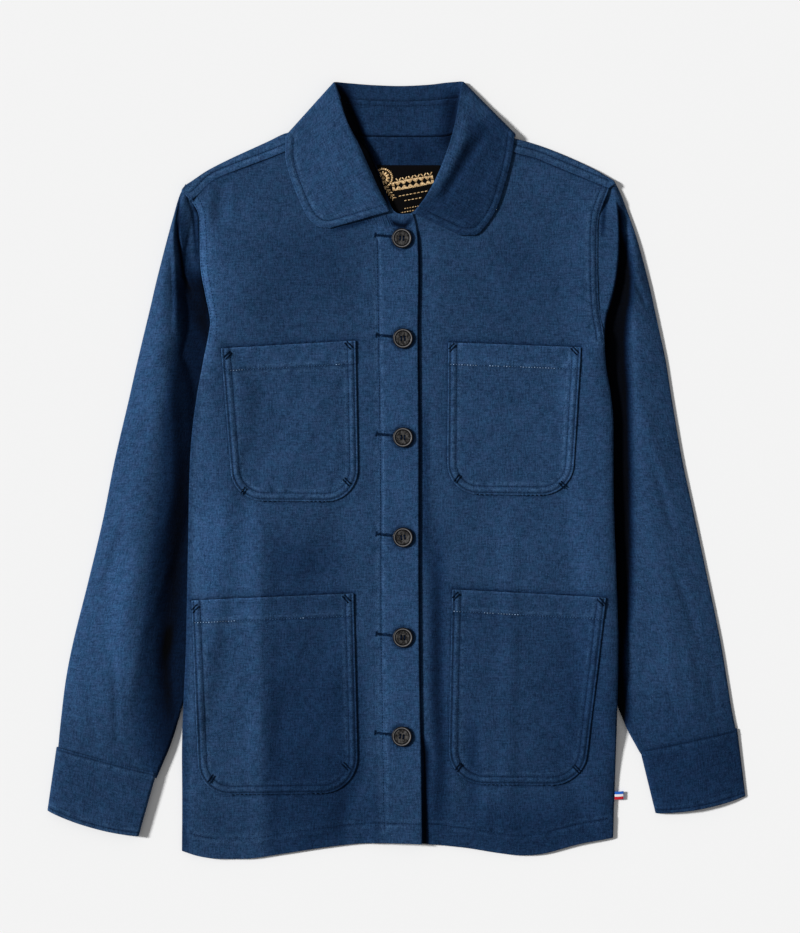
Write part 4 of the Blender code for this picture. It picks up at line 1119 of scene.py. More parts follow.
def twill_finish(name, shift=0.0):
    """Navy cotton with uneven yarns both ways, faded in clouds and worn pale at its sewing, with
    painted shade and painted highlight from the mesh.
    """
    tint = (0.55, 0.66, 0.85, 1)
    cloth = Finish(name, roughness=0.9, gloss=0.05, sheen=0.02, sheen_tint=tint)
    moved = (shift, shift / 2, 0)
    warp = cloth.speckle(cloth.place((1.0, 0.22, 1), shift=moved), 1.5, 3.0, 0.65)
    weft = cloth.speckle(cloth.place((0.2, 1.0, 1), shift=moved), 1.6, 3.0, 0.65)
    grain = cloth.speckle(cloth.place(shift=moved), 1.5, 3.0, 0.75)
    lumps = cloth.speckle(cloth.place(shift=(shift + 5, 4, 0)), 7, 3.0, 0.65)
    clouds = cloth.speckle(cloth.place(shift=moved), 38, 3.0, 0.6)
    cast = cloth.speckle(cloth.place(shift=(shift + 3, 1, 0)), 9, 3.0, 0.6)
    neps = cloth.speckle(cloth.place(shift=(shift + 7, 2, 0)), 1.5, 1.0, 0.5)
    wear = cloth.attribute("wear")

    depth = warp * 0.42 + weft * 0.38 + grain * 0.56 + lumps * 0.16 + clouds * 0.13 - 0.325
    navy = cloth.mixed(depth.between(0.32, 0.68), NAVY_DARK, NAVY_LIGHT)
    hue = cloth.mixed(cast.between(0.3, 0.7), (0.90, 1.02, 1.0), (1.12, 0.985, 1.0))
    navy = cloth.mixed(1.0, navy, hue, "MULTIPLY")
    rubbed = wear * grain.between(0.36, 0.60) * lumps.between(0.36, 0.62) * 0.62
    navy = cloth.mixed(rubbed, navy, NAVY_FADED)
    seam = (wear * -1) * (grain * 0.6 + 0.2)
    navy = cloth.mixed(seam, navy, SEAM_DARK)
    navy = cloth.mixed(neps.between(0.69, 0.75) * 0.7, navy, NAVY_FADED)
    # Painted shade and painted highlight from the mesh, bluer where the painted shade is deep.
    tone = cloth.attribute("tone")
    navy = cloth.mixed(1.0, navy, tone, "MULTIPLY")
    for low, high, hue in ((0.4, 1.0, PAINTED_SHADE_CAST), (0.03, 0.45, DEEPEST_SHADE_CAST)):
        deep = cloth.mixed(tone.between(low, high), hue, (1, 1, 1))
        navy = cloth.mixed(1.0, navy, deep, "MULTIPLY")
    cloth.colour(navy)

    twill = cloth.node(
        "ShaderNodeTexWave", {"wave_type": "BANDS", "bands_direction": "DIAGONAL"},
        {"Vector": cloth.place(), "Scale": 330, "Distortion": 1.6, "Detail": 1.0},
    )
    cloth.bump(warp * 0.5 + weft * 0.4 + grain * 0.6 + lumps * 0.5 + twill * 0.1, 0.85, 0.7)
    return cloth.material


def thread_finish(name, colour, pale=None):
    """Sewing thread: twisted, with worn stitches paler than the rest where asked."""
    thread = Finish(name, roughness=0.9, gloss=0.03)
    grain = thread.speckle(thread.inside(), 3.2, 2.0, 0.6)
    pale = shaded(colour, 2.2) if pale is None else pale
    thread.colour(thread.mixed(grain.between(0.42, 0.68), colour, pale))
    return thread.material


# ---------------------------------------------------------------------------------------------
# Making cloth.
# ---------------------------------------------------------------------------------------------

INWARDS = {"left": (0, 1), "bottom": (1, 0), "right": (0, -1), "top": (-1, 0)}
FOLD_TURNS = (50, 95, 140, 180)
FOLD_CELLS = 5


def rim(rows, columns, sides):
    """Grid places along the named sides in turn, anticlockwise, with the step inwards from each
    and how many steps in its fold may go before it meets that of the next side."""
    paths = {
        "left": [(row, 0) for row in reversed(range(rows))],
        "bottom": [(0, column) for column in range(columns)],
        "right": [(row, columns - 1) for row in range(rows)],
        "top": [(rows - 1, column) for column in reversed(range(columns))],
    }
    places, steps = [], []
    for side in sides:
        for place in paths[side]:
            if places and places[-1] == place:
                steps[-1] = tuple(np.add(steps[-1], INWARDS[side]))
            else:
                places.append(place)
                steps.append(INWARDS[side])
    closed = len(sides) == 4
    if closed:
        places.pop()
        steps[0] = tuple(np.add(steps[0], steps.pop()))
    corners = [k for k, step in enumerate(steps) if 0 not in step]
    reach = np.full(len(places), FOLD_CELLS)
    for corner in corners:
        gap = np.abs(np.arange(len(places)) - corner)
        reach = np.minimum(reach, np.minimum(gap, len(places) - gap) if closed else gap)
    return np.array(places), np.array(steps), reach, closed


def unit(vectors):
    return vectors / np.maximum(np.linalg.norm(vectors, axis=-1, keepdims=True), 1e-12)


def grid_normals(points, tube, flip):
    """Normals of a grid; those of a tube go round its joined first and last columns."""
    padded = np.concatenate([points[:, -2:-1], points, points[:, 1:2]], 1) if tube else points
    across = np.gradient(padded, axis=1)
    if tube:
        across = across[:, 1:-1]
    return unit(np.cross(across, np.gradient(points, axis=0))) * (-1 if flip else 1)


def cloth(name, node, points, finish, wall=WALL, folded=(), fold=-1, radius=EDGE_FOLD, tube=False,
          flip=False, cover=None, wear=None, tone=None):
    """Thin cloth through a grid of points in the middle of its wall, turned in at its folded sides.

    The last column of a tube is its first again. The cover is where each point is on the cut
    cloth, wear is how much it is rubbed, and the factor of painted light how much darker or paler
    its colour is, 1 being plain: mostly painted shade and painted highlight. The fold goes to the
    side that fold has the sign of.
    """
    rows, columns = points.shape[:2]
    normals = grid_normals(points, tube, flip)
    cover = points[..., :2] if cover is None else cover
    wear = np.zeros((rows, columns)) if wear is None else wear
    tone = np.ones((rows, columns)) if tone is None else tone
    number = np.arange(rows * columns).reshape(rows, columns)
    places, spots, rubbed = [points.reshape(-1, 3)], [cover.reshape(-1, 2)], [wear.ravel()]
    painted_light_values = [tone.ravel()]
    bands = [number]

    chains = [(side,) for side in folded] if tube else [folded] if folded else []
    for sides in chains:
        chain, steps, reach, closed = rim(rows, columns, sides)
        if closed:
            ring = np.arange(len(chain) + 1) % len(chain)
            chain, steps, reach = chain[ring], steps[ring], reach[ring]
        at = chain[:, 0], chain[:, 1]
        here, upward, spot = points[at], normals[at], cover[at]
        run = np.gradient(here, axis=0)
        if closed or tube:
            run[0] = run[-1] = here[1] - here[-2]
        run = unit(run)
        out = here - points[chain[:, 0] + steps[:, 0], chain[:, 1] + steps[:, 1]]
        out -= run * (out * run).sum(-1, keepdims=True)
        out = unit(out - upward * (out * upward).sum(-1, keepdims=True))
        band = [number[at]]
        layers = []
        for degrees in FOLD_TURNS:
            angle = math.radians(degrees)
            move = out * math.sin(angle) + upward * fold * (1 - math.cos(angle))
            layers.append((here + move * radius, spot + out[:, :2] * radius * angle))
        for cell in range(1, FOLD_CELLS + 1):
            into = chain + steps * np.minimum(cell, reach)[:, None]
            at = into[:, 0], into[:, 1]
            layers.append((points[at] + normals[at] * fold * 2 * radius, cover[at]))
        for place, spot in layers:
            first = sum(len(block) for block in places)
            places.append(place)
            spots.append(spot)
            rubbed.append(np.maximum(wear[chain[:, 0], chain[:, 1]], EDGE_WEAR))
            painted_light_values.append(tone[chain[:, 0], chain[:, 1]])
            band.append(np.arange(first, first + len(place)))
        bands.append(np.array(band))

    faces = []
    for band in bands:
        ring = (band[:-1, :-1], band[:-1, 1:], band[1:, 1:], band[1:, :-1])
        faces.append(np.stack([corner.ravel() for corner in ring], -1))
    mesh = bpy.data.meshes.new(name)
    mesh.from_pydata(np.concatenate(places) * MM, [], np.concatenate(faces).tolist())
    corners = np.empty(len(mesh.loops), np.int32)
    mesh.loops.foreach_get("vertex_index", corners)
    mesh.uv_layers.new(name="cloth").uv.foreach_set(
        "vector", (np.concatenate(spots)[corners] * MM).astype(np.float32).ravel()
    )
    # Wear, and the factor of painted shade and painted highlight that the finishes multiply in.
    for name_of, values in (("wear", rubbed), ("tone", painted_light_values)):
        mesh.attributes.new(name_of, "FLOAT", "POINT").data.foreach_set(
            "value", np.concatenate(values).astype(np.float32)
        )
    clean_mesh(mesh)
    mesh.materials.append(finish)
    piece = place_piece(name, mesh, "navy_twill", node)
    shell = piece.modifiers.new("Wall", "SOLIDIFY")
    shell.thickness = wall * MM
    shell.offset = 0
    return piece


def clean_mesh(mesh):
    """Joins points that meet, turns all faces the same way and makes the mesh smooth."""
    work = bmesh.new()
    work.from_mesh(mesh)
    bmesh.ops.remove_doubles(work, verts=work.verts, dist=MERGE)
    bmesh.ops.dissolve_degenerate(work, edges=work.edges, dist=MERGE)
    bmesh.ops.recalc_face_normals(work, faces=work.faces)
    work.to_mesh(mesh)
    work.free()
    mesh.shade_smooth()


def place_piece(name, mesh, slot, *nodes):
    """Puts a piece in the scene, riding with the jacket, in place of its solids."""
    piece = bpy.data.objects.new(name, mesh)
    bpy.context.scene.collection.objects.link(piece)
    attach(piece, "root")
    if nodes:
        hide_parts(*nodes)
    return piece


def shell_tree(piece):
    return BVHTree.FromObject(piece, bpy.context.evaluated_depsgraph_get())


def landing(tree, x, y):
    """Where a point of the sewing comes down on a piece, with the way its face looks there."""
    hit, normal = tree.ray_cast(Vector((x, y, HIGH_ABOVE)) * MM, Vector((0, 0, -1)))[:2]
    return (None, None) if hit is None else (np.array(hit) / MM, np.array(normal))


# ---------------------------------------------------------------------------------------------
# Sewing.
# ---------------------------------------------------------------------------------------------

# One stitch as rings of points (along, across, up) from end to end, in shares of its size.
STITCH_RINGS = ((-0.5, 0, 0), (-0.32, 0.9, 0.9), (0.32, 0.9, 0.9), (0.5, 0, 0))
STITCH_SIDES = 6


def stitch_shape():
    """Points and faces of one stitch, a bead lying along X."""
    points, faces, rings = [], [], []
    for along, across, up in STITCH_RINGS:
        if across == 0:
            rings.append([len(points)])
            points.append((along, 0, 0))
            continue
        ring = []
        for k in range(STITCH_SIDES):
            angle = 2 * math.pi * k / STITCH_SIDES
            ring.append(len(points))
            points.append((along, across * math.cos(angle) / 2, up * math.sin(angle) / 2))
        rings.append(ring)
    for ring, after in zip(rings[:-1], rings[1:]):
        for k in range(STITCH_SIDES):
            a, b = ring[k % len(ring)], ring[(k + 1) % len(ring)]
            c, d = after[(k + 1) % len(after)], after[k % len(after)]
            faces.append([v for n, v in enumerate((a, d, c, b)) if (a, d, c, b).index(v) == n])
    return np.array(points), faces


def sewing(name, tree, stitches, finish, slot="navy_twill"):
    """Joins many stitches, each (x, y, direction, length, width, height above), into one piece."""
    shape, ring_faces = stitch_shape()
    points, faces = [], []
    for x, y, angle, length, width, above in stitches:
        spot, normal = landing(tree, x, y)
        if spot is None:
            continue
        ahead = np.array([math.cos(angle), math.sin(angle), 0])
        ahead = unit(ahead - normal * (ahead @ normal))
        across = np.cross(normal, ahead)
        first = len(points) * len(shape)
        size = np.array([length, width, max(width * 0.75, STITCH_HEIGHT)])
        points.append(spot + normal * above + (shape * size) @ np.array([ahead, across, normal]))
        faces.extend([[first + k for k in face] for face in ring_faces])
    mesh = bpy.data.meshes.new(name)
    mesh.from_pydata(np.concatenate(points) * MM, [], faces)
    mesh.shade_smooth()
    mesh.materials.append(finish)
    return place_piece(name, mesh, slot)


def running(line, seed, pitch=STITCH_PITCH, length=STITCH, width=STITCH_WIDTH, skip=0.0):
    """Stitches one after the other along a line."""
    draw = np.random.default_rng(seed)
    spots = resampled(line, pitch)
    middles = (spots[1:] + spots[:-1]) / 2
    steps = np.diff(spots, axis=0)
    made = []
    for (x, y), (dx, dy) in zip(middles, steps):
        off, turn, size = draw.normal(0, 0.08), draw.normal(0, 0.06), draw.uniform(0.85, 1.1)
        if draw.uniform() < skip:
            continue
        angle = math.atan2(dy, dx)
        x, y = x - off * math.sin(angle), y + off * math.cos(angle)
        made.append((x, y, angle + turn, length * size, width, 0.02))
    return made


def rows_of(lines, seed, *sizes):
    """Stitches along several lines, each with a draw of its own."""
    rows = (running(line, seed + number, *sizes) for number, line in enumerate(lines))
    return [stitch for row in rows for stitch in row]


def bar_tack(x, y, angle, length, seed, width):
    """A short dense bar of stitches laid across each other over its core."""
    draw = np.random.default_rng(seed)
    made = [(x, y, math.radians(angle), length, width * 0.8, 0.1)]
    ahead = math.cos(math.radians(angle)), math.sin(math.radians(angle))
    count = round(length / BAR_PITCH)
    for k in range(count):
        along = (k + 0.5) / count * length - length / 2
        across = draw.normal(0, 0.1)
        made.append((
            x + ahead[0] * along - ahead[1] * across, y + ahead[1] * along + ahead[0] * across,
            math.radians(angle + 90) + draw.normal(0, 0.12), width * draw.uniform(0.95, 1.25),
            0.6, 0.35,
        ))
    return made


# ---------------------------------------------------------------------------------------------
# The body.
# ---------------------------------------------------------------------------------------------


def hem_line(side, inside):
    """Line this far above the hem edge, from the side seam to the front edge."""
    low, high = (-207, 25) if side == "right" else (29, 209)
    x = np.linspace(low, high, 60)
    return inset(np.stack([x, through(HEM_EDGE, x)], -1), inside)


def armhole_line(side, inside):
    y = np.linspace(126, 281 if side == "right" else 285, 50)
    edge = np.stack([side_x(side, y), y], -1)
    return inset(edge, inside * outward(side))


def front_lines(side):
    lines = [armhole_line(side, inside) for inside in ARMHOLE_ROWS]
    lines.append(hem_line(side, BODY_HEM))
    if side == "right":
        lines.append(FACING_LINE)
    return lines


def front_surface(side, x, y):
    """A front's height with its doubled cloth: hem, facing and armhole allowance."""
    z = front_height(side, x, y) + falls(HEM_STEP, y - through(HEM_EDGE, x))
    inward = from_side(side, x, y)
    z = z + falls(ALLOWANCE_STEP[side], inward) * ease((y - ARMHOLE_Y) / ALLOWANCE_BLEND)
    z = z + falls(RIM_SWELL[side], inward) * ease(inward / SIDE_ROUND)
    drop = RIM_DROP[side] * ease((y - ARMHOLE_Y) / ARMHOLE_BLEND)
    z = z - drop * np.clip(1 - inward / RIM_WIDTH, 0, 1) ** 2
    if side == "left":
        return z + peaks(UNDERLAP_DIP, x - through(PLACKET_EDGE, y)) * rises(UNDERLAP_TOP, y)
    facing = np.array(FACING_LINE)[::-1]
    past = x - through(facing[:, ::-1], y)
    z = z + rises(FACING_STEP, past)
    z = z + waves("facing", x, y, SEEDS["facing"]) * rises(FACING_WAVES, past)
    corner = rises(CORNER_DOWN, y) * rises(CORNER_ACROSS, x)
    z = z + CORNER_LIFT * corner**CORNER_POWER
    z = z + rises(PLACKET_LIFT, x) * rises(PLACKET_TOP, y)
    for button_x, button_y in BUTTONS:
        z = z + peaks(BUTTON_DIMPLE, np.hypot(x - button_x, y - button_y))
    return z


def front_points(side):
    """Grid of a front: rows from the hem to the shoulder and neck, columns from side to edge."""
    overlap = 0 if side == "right" else UNDERLAP
    across, up = np.meshgrid(spaced(*GRIDS["front_columns"]), spaced(*GRIDS["front_rows"]))
    y = PLAN_LOW + up * PLAN_LENGTH
    for _ in range(SETTLING_ROUNDS):
        start = side_x(side, y)
        x = start + (through(PLACKET_EDGE, y) - overlap - start) * across
        low = through(HEM_EDGE, x)
        y = low + (through(FRONT_TOP[side], x) - low) * up
    return x, y


def front_painted_light(x, y):
    """Painted light over the fronts: painted shade and highlight in spots, on a crease and in folds,
    and paler on the placket.
    """
    tone = np.ones(x.shape)
    for spot in PAINTED_LIGHT_SPOTS:
        away = np.hypot((x - spot.x) / spot.reach_x, (y - spot.y) / spot.reach_y)
        tone = tone * (1 + (spot.tone - 1) * np.exp(-away * away))
    # Painted highlight on the crease's outer side, painted shade on its inner side.
    past = x - CREASE_X
    down = rises(CREASE_DOWN[0], y) * (1 - rises(CREASE_DOWN[1], y))
    low = sum(rises(bend, y) for bend in CREASE_LOW)
    pale = down * CREASE_HIGHLIGHT * within(HIGHLIGHT_SPAN, past)
    tone = tone * (1 + pale - low * CREASE_SHADE * within(SHADE_SPAN, past))
    placket = within(PLACKET_SPAN, through(PLACKET_EDGE, y) - x)
    return tone * lit(FRONT_SHADES, x, y) * (1 + PLACKET_TONE * placket)


def shade_beside(line, shades, x, y):
    """Brightness left beside a line by painted shade."""
    away = beside(resampled(line, 8), x, y)[0]
    return math.prod(1 - peaks(shade, away) for shade in shades)


def right_front_painted_light(x, y):
    """Painted highlight at the right front's side edge up the armhole, painted shade along it low
    down, and painted shadow round the buttons.
    """
    low = falls(SIDE_LOW, y)
    edge = Bend(*(blend(high, deep, low) for high, deep in zip(SIDE_HIGHLIGHT, SIDE_SHADE)))
    tone = 1 + peaks(edge, from_side("right", x, y))
    # Painted shadow round each button.
    for button_x, button_y in BUTTONS:
        off = np.hypot(x - button_x, y - button_y) - BUTTON_RADIUS
        tone = tone * (1 - peaks(BUTTON_SHADE, off))
    return tone


def left_front_painted_shadow(x, y):
    """Shade on the left front beside the placket's edge, wider in the wedge below."""
    wedge, top = rises(WEDGE, y), peaks(WEDGE_TOP, y)
    parts = zip(EDGE_SHADE, WEDGE_MORE, WEDGE_TOP_MORE)
    shade = Bend(*(plain + more * wedge + higher * top for plain, more, higher in parts))
    return 1 - peaks(shade, x - through(PLACKET_EDGE, y)) * rises(EDGE_SHADE_TOP, y)


def front_cloth(side, finish):
    x, y = front_points(side)
    inward = from_side(side, x, y)
    dip, wear = sewn(front_lines(side), x, y)
    tone = front_painted_light(x, y)
    # Painted shade along each pocket's sewn edges and painted shadow above its mouth.
    for pocket in POCKETS.values():
        if pocket.side == side:
            plan = pocket_plan(pocket)
            tone = tone * shade_beside(pocket_lines(plan)[0], POCKET_SHADES, x, y)
            tone = tone * shade_beside(plan[0], MOUTH_SHADES, x, y)
    if side == "right":
        calm = 1 - falls(ARMHOLE_CALM, inward) * ease((y - ARMHOLE_Y) / ALLOWANCE_BLEND)
        dip, wear = dip * calm, wear * calm * calm
        wear = np.where(wear < 0, wear, np.maximum(wear, peaks(SIDE_WEAR, inward)))
        tone = tone * right_front_painted_light(x, y)
    else:
        tone = tone * left_front_painted_shadow(x, y)
    # Painted shade under the neck edge, and the painted shadow of the collar's rolls on the fronts.
    tone = tone * lit(NECK_EDGE_SHADES, x, y)
    tone = tone * blend(1, lit(NECK_SHADES, x, y), rises(NECK_FRONTS, y))
    # Painted shade under the edge of the back's strip at the shoulder.
    beyond = (x - SHOULDER_END[side]) * outward(side) > 0
    to_seam = through(FRONT_TOP[side], x) - y
    tone = tone * (1 - peaks(SEAM_SHADE, to_seam) * beyond)
    z = front_surface(side, x, y) + dip + falls(STRIP_SINK, to_seam) * beyond
    folded = ("left", "bottom", "right")
    return cloth(f"front_{side}_cloth", f"front_{side}", np.stack([x, y, z], -1), finish,
                 folded=folded, wear=wear, tone=tone, flip=side == "left")


def back_points(seams):
    """Grid of the back: up from the hem, then over the shoulders to the fronts' seams."""
    right = seams["right"][seams["right"][:, 0] < SHOULDER_END["right"]]
    left = seams["left"][seams["left"][:, 0] > SHOULDER_END["left"]][::-1]
    neck_x = np.linspace(*NECK_SPAN, NECK_COLUMNS)
    necks = np.stack([neck_x, neck_x * 0, neck_x * 0], -1)
    top_x, seam_y, seam_z = np.concatenate([right, necks, left]).T
    across = (top_x - top_x[0]) / (top_x[-1] - top_x[0])
    neck = np.isin(top_x, neck_x)
    fold_y = np.where(neck, through(BACK_NECK, top_x), through(SHOULDER_FOLD, top_x))
    radius = (seam_z - back_height(top_x, fold_y)) / 2
    last_y = np.where(neck, fold_y - NECK_ROWS_BELOW, fold_y - radius)

    rows = []
    for up in spaced(*GRIDS["back_rows"]):
        y = np.full(len(across), PLAN_LOW + up * PLAN_LENGTH)
        for _ in range(SETTLING_ROUNDS):
            inset_x = BACK_INSET + ARMHOLE_INSET * ease((y - ARMHOLE_INSET_Y) / ARMHOLE_INSET_BLEND)
            left_x, right_x = side_x("right", y) + inset_x, side_x("left", y) - inset_x
            x = left_x + (right_x - left_x) * across
            low = through(HEM_EDGE, x) + HEM_INSET
            y = low + (last_y - low) * up
        z = back_height(x, y) + relief(BACK_NECK_FOLDS, x, y)
        rows.append(np.stack([x, y, z], -1))
    for turn in np.linspace(0, 1, BACK_FOLD_ROWS)[1:]:
        angle = np.pi * (turn - 0.5)
        y = np.where(neck, last_y + NECK_ROWS_RUN * turn, last_y + radius * np.cos(angle))
        z = back_height(top_x, last_y) + np.where(neck, 0, radius * (1 + np.sin(angle)))
        rows.append(np.stack([*shoulder_tip(top_x, y, turn), z], -1))
    first_z = rows[-1][:, 2]
    first_y = last_y + np.where(neck, NECK_ROWS_RUN, 0)
    end_y = np.where(neck, fold_y + NECK_UNDER, seam_y - STRIP_LAP)
    for share in np.linspace(0, 1, STRIP_ROWS)[1:]:
        y = blend(first_y, end_y, share)
        strip = STRIP_RISE * share + waves("strip", top_x, y, SEEDS["strip"])
        rise = np.where(neck, -rises(NECK_SINK, y - fold_y), strip)
        rows.append(np.stack([*shoulder_tip(top_x, y, 1 - share), first_z + rise], -1))
    return np.array(rows)


def shoulder_tip(x, y, share):
    """Draws the ends of the shoulder fold out and down over the tops of the sleeves."""
    for end, (out, down) in zip((x[0], x[-1]), SHOULDER_TIPS):
        near = share * (1 - ease(np.abs(x - end) / SHOULDER_TIP_REACH))
        x, y = x + out * near, y - down * near
    return x, y


def shoulder_line(side, inside):
    """Line on the back's strip, this far above the seam with the front."""
    x = np.linspace(-198, -54, 50) if side == "right" else np.linspace(64, 204, 50)
    return inset(np.stack([x, through(FRONT_TOP[side], x)], -1), inside)


def back_cloth(seams, finish):
    points = back_points(seams)
    x, y = points[..., 0], points[..., 1]
    dip, wear = sewn([shoulder_line(side, SHOULDER_ROW) for side in SIDES], x, y)
    over = np.arange(len(points))[:, None] >= len(points) - STRIP_ROWS
    points[..., 2] += dip * over
    at_neck = (x > NECK_SPAN[0]) & (x < NECK_SPAN[1])
    # Painted shade on the back inside the neck, with the painted shadow of the collar's rolls, and
    # the right shoulder's strip paler.
    inside = rises(BACK_NECK_UP, y) * rises(BACK_NECK_ACROSS, np.abs(x))
    tone = 1 - BACK_NECK_SHADE * inside * (at_neck | ~over)
    tone = tone * np.where(over & (x < 0), STRIP_TONE, 1) * blend(1, lit(NECK_SHADES, x, y), inside)
    return cloth("back_cloth", "back", points, finish, folded=("left", "bottom", "right", "top"),
                 fold=1, wear=wear * over, tone=tone)


# ---------------------------------------------------------------------------------------------
# Sleeves and cuffs.
# ---------------------------------------------------------------------------------------------


def even_stations(table, corner_columns, step):
    """Places in a table of sections that lie this far apart along its widest line."""
    fine = np.linspace(0, len(table) - 1, 1200)
    line = np.stack([through(list(enumerate(table[:, k])), fine) for k in corner_columns], -1)
    run = np.concatenate([[0], np.cumsum(np.linalg.norm(np.diff(line, axis=0), axis=1))])
    return np.interp(np.linspace(0, run[-1], round(run[-1] / step)), run, fine)


def lit(shades, x, y):
    """Brightness left by painted shades and raised by painted highlights, never less than a little.
    """
    return np.maximum(LEAST_PAINTED_BRIGHTNESS, 1 + relief(shades, x, y))


def sleeve_form(side, y):
    columns = np.array(SLEEVE_FORM[side], float).T
    return Form(*(through(list(zip(columns[0], column)), y) for column in columns))


def sleeve_painted_light(side, points):
    """Painted light on a sleeve: highlight and shade down it and along its folds, and painted shadow
    in the deep fold beside the body.
    """
    x, y = points[..., 0], points[..., 1]
    tone = through(SLEEVE_PAINTED_LIGHT[side], y) * lit(SLEEVE_SHADES[side], x, y)
    if side in CAP_EDGE:
        edge = np.where(y > CAP_START, through(CAP_EDGE[side], y), side_x(side, y))
        past = (x - edge) * outward(side)
        deep = within((DEEP_EDGE, Bend(1, through(DEEP_FOLD, y), DEEP_RISE)), past)
        return tone * (1 - falls(DEEP_SHADE[side], y) * deep)
    form = sleeve_form(side, y)
    outer = np.interp(y, *np.array([(r.outer_y, r.outer_x) for r in SLEEVES[side][::-1]]).T)
    share = (x - outer) / (side_x(side, y) - outer)
    fallen = np.clip((share - form.crest) / (form.foot - form.crest), 0, 1)
    return tone * (1 - falls(DEEP_SHADE[side], y) * ease(fallen) ** DEEP_POWER)


def with_cap(side, x, y, z):
    """A sleeve's height with its cap, which stands off the armhole and drops into a deep fold."""
    past = (x - through(CAP_EDGE[side], y)) * outward(side)
    slope = CAP_SLOPE * np.clip(past / CAP_REACH, -1, 0)
    crest = CAP_Z + slope + waves("cap", x, y, SEEDS["cap"])
    beyond = CAP_LOW + np.maximum(z - CAP_LOW, 0) * rises(CAP_RISE, past)
    return blend(z, blend(crest, beyond, rises(CAP_DROP, past)), through(CAP_SPAN, y))


def sleeve_profile(side, upper, form, inner_z):
    """Height of a sleeve's upper layer along one section: round at its outer fold, up to the
    crest, down to the foot and on to the inner edge. Gives the height of the fold too."""
    fold_z = min(SLEEVE_FOLD_Z[side], form.crest_z / 2)
    stops = [(0, fold_z)]
    for at, swell in SLEEVE_ROUND:
        stops.append((at * form.crest, blend(fold_z, form.crest_z, swell)))
    for at in np.linspace(0, 1, 5):
        fallen = (form.crest_z - form.foot_z) * at ** FALL_BEND[side]
        stops.append((blend(form.crest, form.foot, at), form.crest_z - fallen))
    stops += [(blend(form.foot, 1, FOOT_RUN), form.foot_z), (1, max(form.foot_z, inner_z))]
    return fold_z, through(stops, upper)


def sleeve_points(side):
    """Grid of a sleeve: rows down the arm, columns round from the lower inner edge to the upper
    one, and on under the body's edge at the armhole or round to the lower layer below it."""
    table = np.array(SLEEVES[side], float)
    stations = even_stations(table, (0, 1), SLEEVE_CELL)
    rung = Rung(*(through(list(enumerate(column)), stations)[:, None] for column in table.T))
    outer = np.stack([rung.outer_x - CLOTH / 2 * outward(side), rung.outer_y], -1)
    inner_x = side_x(side, rung.inner_y) - outward(side) * rung.tuck
    inner = np.stack([inner_x, rung.inner_y], -1)
    lower = 1 - spaced(*GRIDS["sleeve_under"])[:-1]
    upper = spaced(*GRIDS["sleeve_over"])
    plan = blend(outer, inner, np.concatenate([lower, upper])[None, :, None])

    form = sleeve_form(side, rung.inner_y)
    fade = off_ends(upper, CREASE_FADE["outer"], CREASE_FADE["inner"])
    rows = []
    for k in range(len(stations)):
        here = Form(None, *(column[k, 0] for column in form[1:]))
        fold_z, over = sleeve_profile(side, upper, here, rung.inner_z[k, 0])
        x, y = plan[k, len(lower):, 0], plan[k, len(lower):, 1]
        creases = relief(SLEEVE_FOLDS[side], x, y) + waves("sleeve", x, y, SEEDS["sleeve"][side])
        over = np.maximum(over + creases * fade, np.minimum(over, SLEEVE_LEAST))
        if side in CAP_EDGE:
            over = with_cap(side, x, y, over)
        rows.append(np.concatenate([rounded(SLEEVE_FLOOR, fold_z, lower / SLEEVE_TURN), over]))
    points = np.concatenate([plan, np.array(rows)[..., None]], -1)

    inwards = unit(inner - outer)[:, 0]
    at_armhole = rises(TUCK_BLEND, rung.inner_y)[:, 0]
    last = points[:, -1]
    half = (last[:, 2] - SLEEVE_FLOOR) / 2
    extra = []
    for tucked, low, turn in SLEEVE_TUCKS:
        angle = math.radians(turn)
        low = last[:, 2] - TUCK_DROP if low is None else low
        step = blend(half * math.sin(angle), tucked, at_armhole)
        closed_z = SLEEVE_FLOOR + half * (1 + math.cos(angle))
        z = blend(closed_z, np.maximum(low, TUCK_LEAST_Z), at_armhole)
        extra.append(np.concatenate([last[:, :2] + inwards * step[:, None], z[:, None]], -1))
    points = np.concatenate([points, np.stack(extra, 1)], 1)

    down = unit(points[-1] - points[-4])
    on_top = points[-1][:, 2] > SLEEVE_MIDDLE_Z
    ends = []
    for run in SLEEVE_END_RUNS:
        row = points[-1] + down * run
        slope = np.where(on_top, -SLEEVE_END_DROP["over"], SLEEVE_END_DROP["under"])
        row[:, 2] = points[-1][:, 2] + slope * run
        ends.append(row)
    return np.concatenate([points, ends])


def arc_cover(points, middle_column):
    """Where each point of a shaped grid lies on its cut cloth."""
    across = np.linalg.norm(np.diff(points, axis=1), axis=-1)
    across = np.concatenate([across[:, :1] * 0, np.cumsum(across, axis=1)], 1)
    along = np.linalg.norm(np.diff(points[:, middle_column], axis=0), axis=-1)
    along = np.concatenate([[0], np.cumsum(along)])
    across = across - across[:, middle_column][:, None]
    return np.stack([across, np.broadcast_to(along[:, None], across.shape)], -1)


def sleeve_cloth(side, finish):
    points = sleeve_points(side)
    return cloth(f"sleeve_{side}_cloth", f"sleeve_{side}", points, finish,
                 cover=arc_cover(points, points.shape[1] // 3), tone=sleeve_painted_light(side, points))


def cuff_plan(side, along, share):
    """X and Y of points of a cuff, seen from above."""
    cuff = CUFFS[side]
    down = unit(np.array(cuff.free_outer) - np.array(cuff.seam_outer))
    along, share = np.broadcast_arrays(along, share)
    along, share = along[..., None], share[..., None]
    outer = blend(np.array(cuff.seam_outer), np.array(cuff.free_outer), along)
    inner = blend(np.array(cuff.seam_inner), np.array(cuff.free_inner), along)
    bow = CUFF_BOW * along * 4 * share * (1 - share)
    return blend(outer, inner, share) + down * bow


